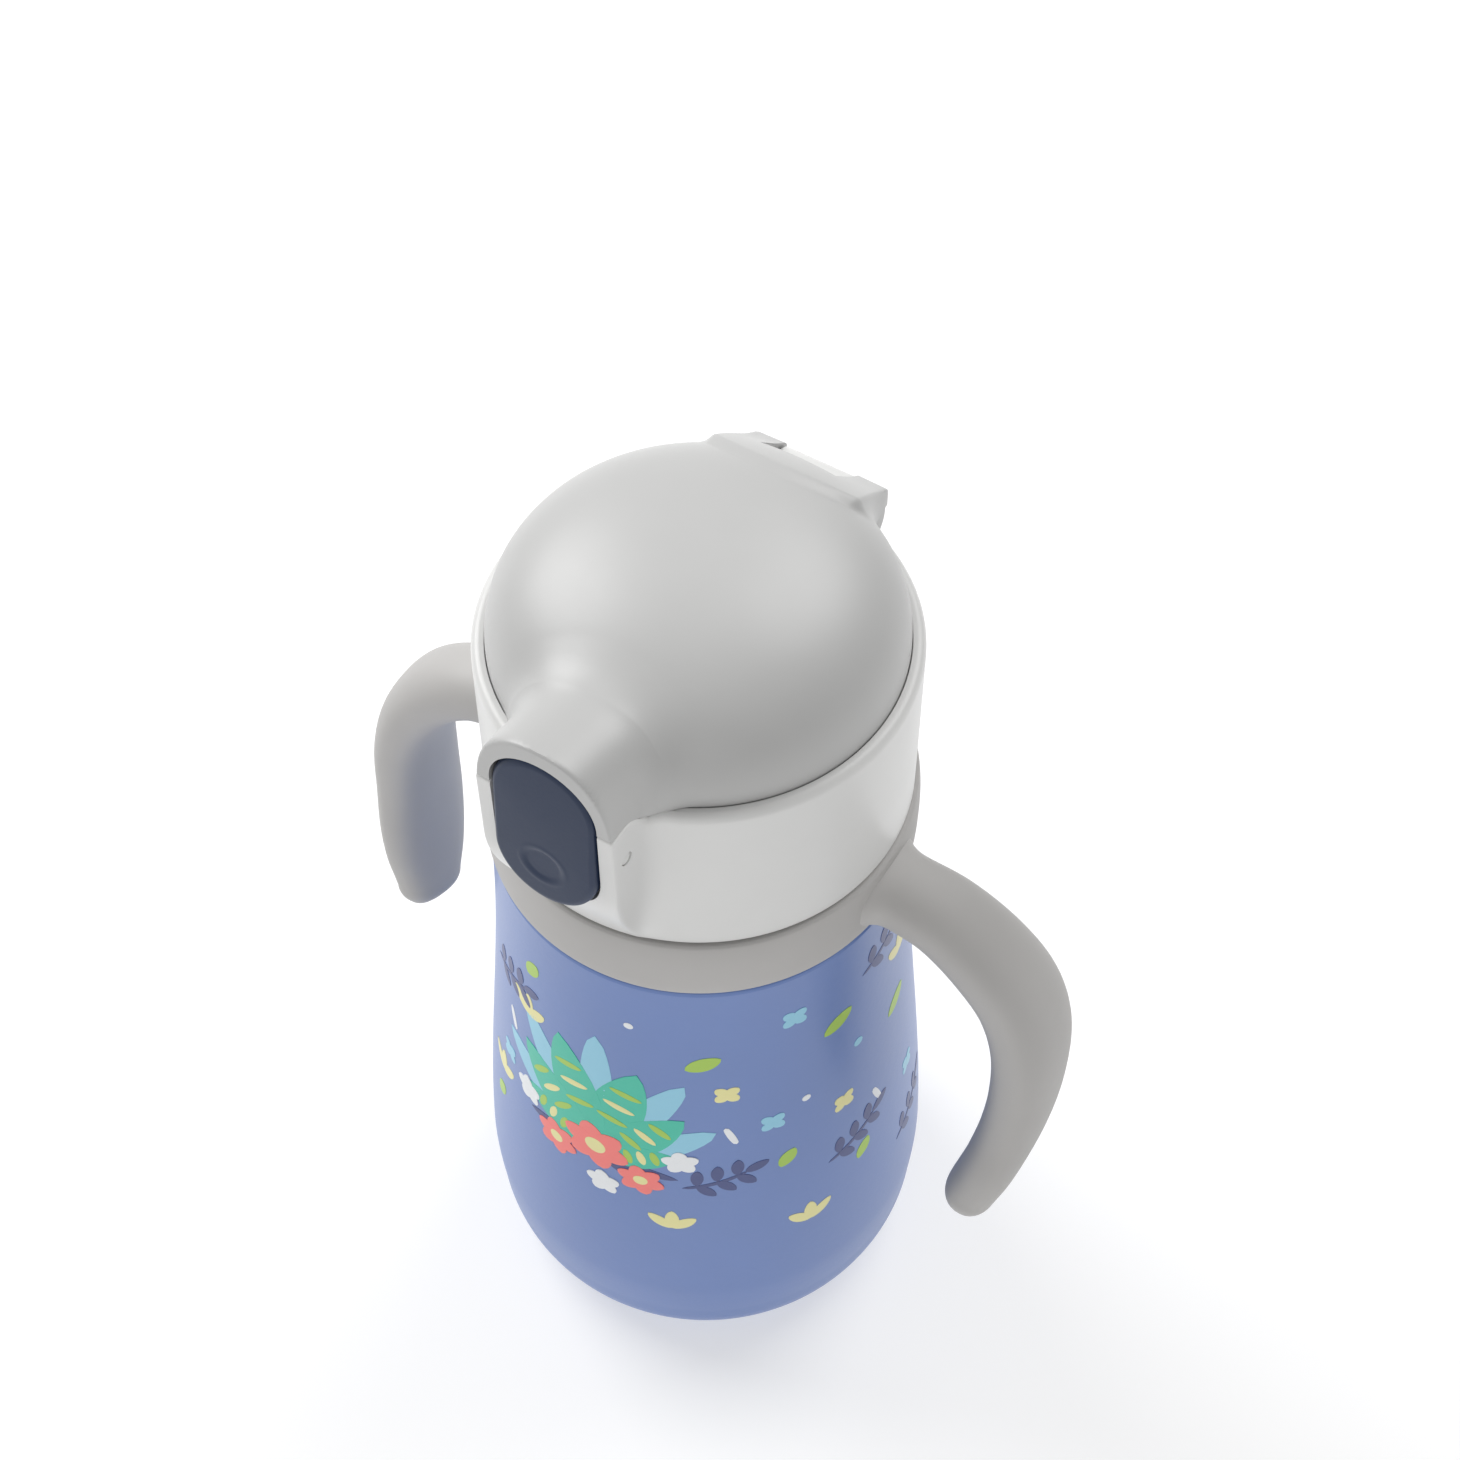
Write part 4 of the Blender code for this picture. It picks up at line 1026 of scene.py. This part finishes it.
class BOTTLE_OT_cover(Operator):
    """Grey dome with its hood and hinge lugs"""
    bl_idname = "bottle.cover"
    bl_label = "Cover"

    def execute(self, context):
        sizes, colours = settings(context)
        cover = new_object("cover", [(cover_grid(sizes), False, True)])
        carve(cover,
              slab("window", button_outline(BUTTON_GAP), POCKET_FRONT, WINDOW_BACK),
              bar("pin_room", TAB_HALF, KNUCKLE_ROOM, (HINGE_Y, HINGE_Z)),
              block("tab_room", (-TAB_HALF, HINGE_Y - KNUCKLE_ROOM, 150.0), (TAB_HALF, 42.0, HINGE_Z)),
              block("tab_slot", (-TAB_HALF, HINGE_Y - 2.3, 155.0), (TAB_HALF, 43.0, 190.0)))
        for side in (-1, 1):
            carve(cover, new_object("lug", [(lug(side), False, True)]), operation="UNION")
        settle(cover, "cover", moulded("cool grey plastic", colours.cover, 0.40, 2000.0, 0.007),
               "cover_grey", "flip_cover")
        return {"FINISHED"}


class BOTTLE_OT_button(Operator):
    """Navy release button with its thumb depression"""
    bl_idname = "bottle.button"
    bl_label = "Button"

    def execute(self, context):
        colours = settings(context)[1]
        hub = turn_along_x(rounded([(-8.0, 0, 0), (-8.0, 2.2, 0.3), (8.0, 2.2, 0.3), (8.0, 0, 0)]),
                           (ROCKER_Y, ROCKER_Z))
        button = new_object("button", [(button_grid(), False, True), (hub, False, True)])
        settle(button, "button", moulded("navy plastic", colours.button, 0.42, 1800.0, 0.008, 0.09, 0.08,
                                         Specular_IOR_Level=0.3),
               "navy_plastic", "release_button")
        return {"FINISHED"}


class BOTTLE_OT_spout(Operator):
    """Mouthpiece, straw and the seals that press on them"""
    bl_idname = "bottle.spout"
    bl_label = "Spout and seals"

    PROFILES = {
        "mouthpiece": ("spout", "lid", [(2.2, 176.0, 0.5), (5.1, 176.1, 0.9), (6.1, 174.6, 0.8),
                                        (5.4, 170.4, 3.0), (5.3, 162.0, 3.0), (5.9, 157.4, 2.0),
                                        (6.9, 154.6, 0.8), (8.2, 154.4, 0.3), (8.2, 152.5, 0.1),
                                        (2.2, 152.5, 0.1)]),
        "drinking_straw": ("straw", "lid", [(3.6, 147.3, 0.2), (3.6, 10.0, 0.3), (2.6, 10.0, 0.3),
                                            (2.6, 147.3, 0.2)]),
        "lip_gasket": ("mouth_gasket", "lid", [(28.4, 149.2, 0.5), (28.4, 148.2, 0.4), (27.8, 147.3, 0.4),
                                               (23.4, 147.3, 0.5), (22.8, 148.2, 0.4), (23.4, 149.2, 0.4)]),
        "spout_pad": ("spout_seal", "cover", [(0.0, 181.0, 0), (3.2, 181.0, 0.3), (3.2, 179.1, 0.3),
                                              (6.6, 179.1, 0.3), (6.9, 178.2, 0.4), (6.6, 176.4, 0.5),
                                              (4.6, 176.4, 0.3), (3.8, 177.0, 0.4), (0.0, 177.0, 0)]),
    }

    def execute(self, context):
        colours = settings(context)[1]
        look = moulded("milky silicone", colours.silicone, 0.46, 900.0, 0.006, 0.08, 0.03,
                       Subsurface_Weight=0.25, Subsurface_Radius=(0.004, 0.004, 0.004))
        for name, (node, body, corners) in self.PROFILES.items():
            closed = corners[0][0] > 0
            obj = new_object(name, [(turn(rounded(corners), 96), closed, True)])
            settle(obj, body, look, "silicone", node)
        grid = turn(rounded([(0, 152.2, 0), (1.7, 152.2, 0.3), (1.7, 149.2, 0.3), (3.4, 148.9, 0.4),
                             (3.0, 148.1, 0.5), (0, 147.9, 0)]), 48) + VENT
        settle(new_object("air_valve", [(grid, False, True)]), "lid", look, "silicone", "vent_valve")
        return {"FINISHED"}


class BOTTLE_OT_insert(Operator):
    """Threaded cup and straw nipple inside the lid"""
    bl_idname = "bottle.insert"
    bl_label = "Insert"

    def execute(self, context):
        sizes, colours = settings(context)
        look = moulded("natural plastic", colours.natural, 0.44, 1900.0, 0.006)
        profile = rounded([(30.5, 149.0, 0.3), (30.5, 134.2, 0.3), (28.9, 134.2, 0.3), (28.9, 149.5, 0.4),
                           (5.2, 149.5, 0.3), (5.2, 152.2, 0.3), (28.6, 152.2, 0.3), (30.5, 150.4, 0.5)])
        cup = new_object("threaded_cup", [(turn(profile, sizes.around), True, True)])
        hole = turn(np.array([(2.0, 147.0), (2.0, 154.0)]), 32) + VENT
        carve(cup, new_object("hole", [(capped(hole), False, True)]))
        settle(cup, "lid", look, "natural_plastic", "screw_insert")
        nipple = rounded([(4.8, 152.2, 0.3), (4.8, 149.2, 0.3), (8.0, 149.2, 0.3), (8.0, 147.6, 0.3),
                          (2.4, 147.6, 0.4), (2.1, 136.0, 0.2), (1.4, 136.0, 0.2), (1.4, 152.2, 0.2)])
        settle(new_object("straw_nipple", [(turn(nipple, 96), True, True)]), "lid", look,
               "natural_plastic", "straw_adapter")
        return {"FINISHED"}


class BOTTLE_OT_pins(Operator):
    """Hinge pin, rocker pin and the two springs"""
    bl_idname = "bottle.pins"
    bl_label = "Pins and springs"

    def execute(self, context):
        colours = settings(context)[1]
        steel = drawn_wire("pin steel", colours.steel)
        pin = rounded([(-PIN_HALF, 0, 0), (-PIN_HALF, 1.25, 0.25), (PIN_HALF, 1.25, 0.25),
                       (PIN_HALF, 0, 0)])
        settle(new_object("hinge_axle", [(turn_along_x(pin, (HINGE_Y, HINGE_Z)), False, True)]), "lid",
               steel, "pin_steel", "hinge_pin")
        rod = rounded([(-PIN_HALF, 0, 0), (-PIN_HALF, 1.0, 0.2), (PIN_HALF, 1.0, 0.2),
                       (PIN_HALF, 0, 0)])
        settle(new_object("rocker_axle", [(turn_along_x(rod, (ROCKER_Y, ROCKER_Z)), False, True)]), "lid",
               moulded("rocker axle plastic", colours.lid, 0.4), "natural_plastic", "button_pin")
        torsion = coil((-7.9, HINGE_Y, HINGE_Z), "X", 2.1, 0.35, 2.0, 2.25)
        settle(new_object("cover_spring", [(torsion, False, True)]), "lid", steel, "pin_steel",
               "hinge_spring")
        push = coil((0.0, -35.0, 151.0), "Y", 1.8, 0.25, 3.3, 3.0)
        settle(new_object("rocker_spring", [(push, False, True)]), "lid", steel, "pin_steel",
               "button_spring")
        return {"FINISHED"}


class BOTTLE_OT_stage(Operator):
    """Pale floor, soft white light and the camera"""
    bl_idname = "bottle.stage"
    bl_label = "Stage"

    def execute(self, context):
        scene = context.scene
        world = bpy.data.worlds.new("white room")
        world.use_nodes = True
        world.node_tree.nodes["Background"].inputs["Color"].default_value = (1.0, 1.0, 1.0, 1.0)
        world.node_tree.nodes["Background"].inputs["Strength"].default_value = 0.34
        scene.world = world
        scene.view_settings.view_transform = "Standard"
        floor = block("floor", (-6000.0, -6000.0, -4.0), (6000.0, 6000.0, -0.02))
        graph = Graph("pale floor")
        floor.data.materials.append(graph.finish(
            Base_Color=graph.blend(graph.noise(graph.place(), 3.0), (0.54, 0.54, 0.54, 1.0),
                                   (0.56, 0.56, 0.56, 1.0)),
            Roughness=0.9, Emission_Color=(1.0, 1.0, 1.0, 1.0), Emission_Strength=0.50))
        for name, place, size, power in (("key", (-0.85, 0.10, 0.90), 0.8, 10.5),
                                         ("back", (0.20, 0.70, 1.00), 0.8, 6.5),
                                         ("fill", (0.40, -0.95, 0.32), 0.9, 2.2)):
            light = bpy.data.lights.new(name, "AREA")
            light.shape, light.size, light.energy = "DISK", size, power
            lamp = bpy.data.objects.new(name, light)
            lamp.location = place
            aim = np.array([0.0, 0.0, 0.10]) - np.array(place)
            lamp.rotation_euler = (np.arctan2(np.hypot(aim[0], aim[1]), -aim[2]), 0.0,
                                   np.arctan2(aim[1], aim[0]) - np.pi / 2)
            scene.collection.objects.link(lamp)
        camera = bpy.data.cameras.new("camera")
        camera.lens, camera.sensor_width = 60.0, 36.0
        view = bpy.data.objects.new("camera", camera)
        view.location = (0.11607, -0.18134, 0.43683)
        view.rotation_euler = (np.radians(36.03), 0.0, np.radians(31.43))
        scene.collection.objects.link(view)
        scene.camera = view
        return {"FINISHED"}


class BOTTLE_PT_panel(Panel):
    """Sidebar list of the bottle's makers and settings"""
    bl_label = "Drinking Bottle"
    bl_idname = "BOTTLE_PT_panel"
    bl_space_type = "VIEW_3D"
    bl_region_type = "UI"
    bl_category = "Bottle"

    def draw(self, context):
        for group in settings(context):
            for name in group.__annotations__:
                self.layout.prop(group, name)
        for maker in MAKERS:
            self.layout.operator(maker.bl_idname)


SETTINGS = (BottleColours, BottleSizes)
MAKERS = (BOTTLE_OT_flask, BOTTLE_OT_print, BOTTLE_OT_handles, BOTTLE_OT_collar, BOTTLE_OT_cover,
          BOTTLE_OT_button, BOTTLE_OT_spout, BOTTLE_OT_insert, BOTTLE_OT_pins, BOTTLE_OT_stage)
CLASSES = (*SETTINGS, *MAKERS, BOTTLE_PT_panel)


def register():
    """Registers the classes and hangs the settings on the scene."""
    for item in CLASSES:
        bpy.utils.register_class(item)
    bpy.types.Scene.bottle_colours = PointerProperty(type=BottleColours)
    bpy.types.Scene.bottle_sizes = PointerProperty(type=BottleSizes)


def unregister():
    """Takes the settings and the classes away again."""
    del bpy.types.Scene.bottle_sizes
    del bpy.types.Scene.bottle_colours
    for item in reversed(CLASSES):
        bpy.utils.unregister_class(item)


def main():
    """Makes every piece and the stage."""
    register()
    bpy.ops.bottle.flask()
    bpy.ops.bottle.print()
    bpy.ops.bottle.handles()
    bpy.ops.bottle.collar()
    bpy.ops.bottle.cover()
    bpy.ops.bottle.button()
    bpy.ops.bottle.spout()
    bpy.ops.bottle.insert()
    bpy.ops.bottle.pins()
    bpy.ops.bottle.stage()


if __name__ == "__main__":
    main()
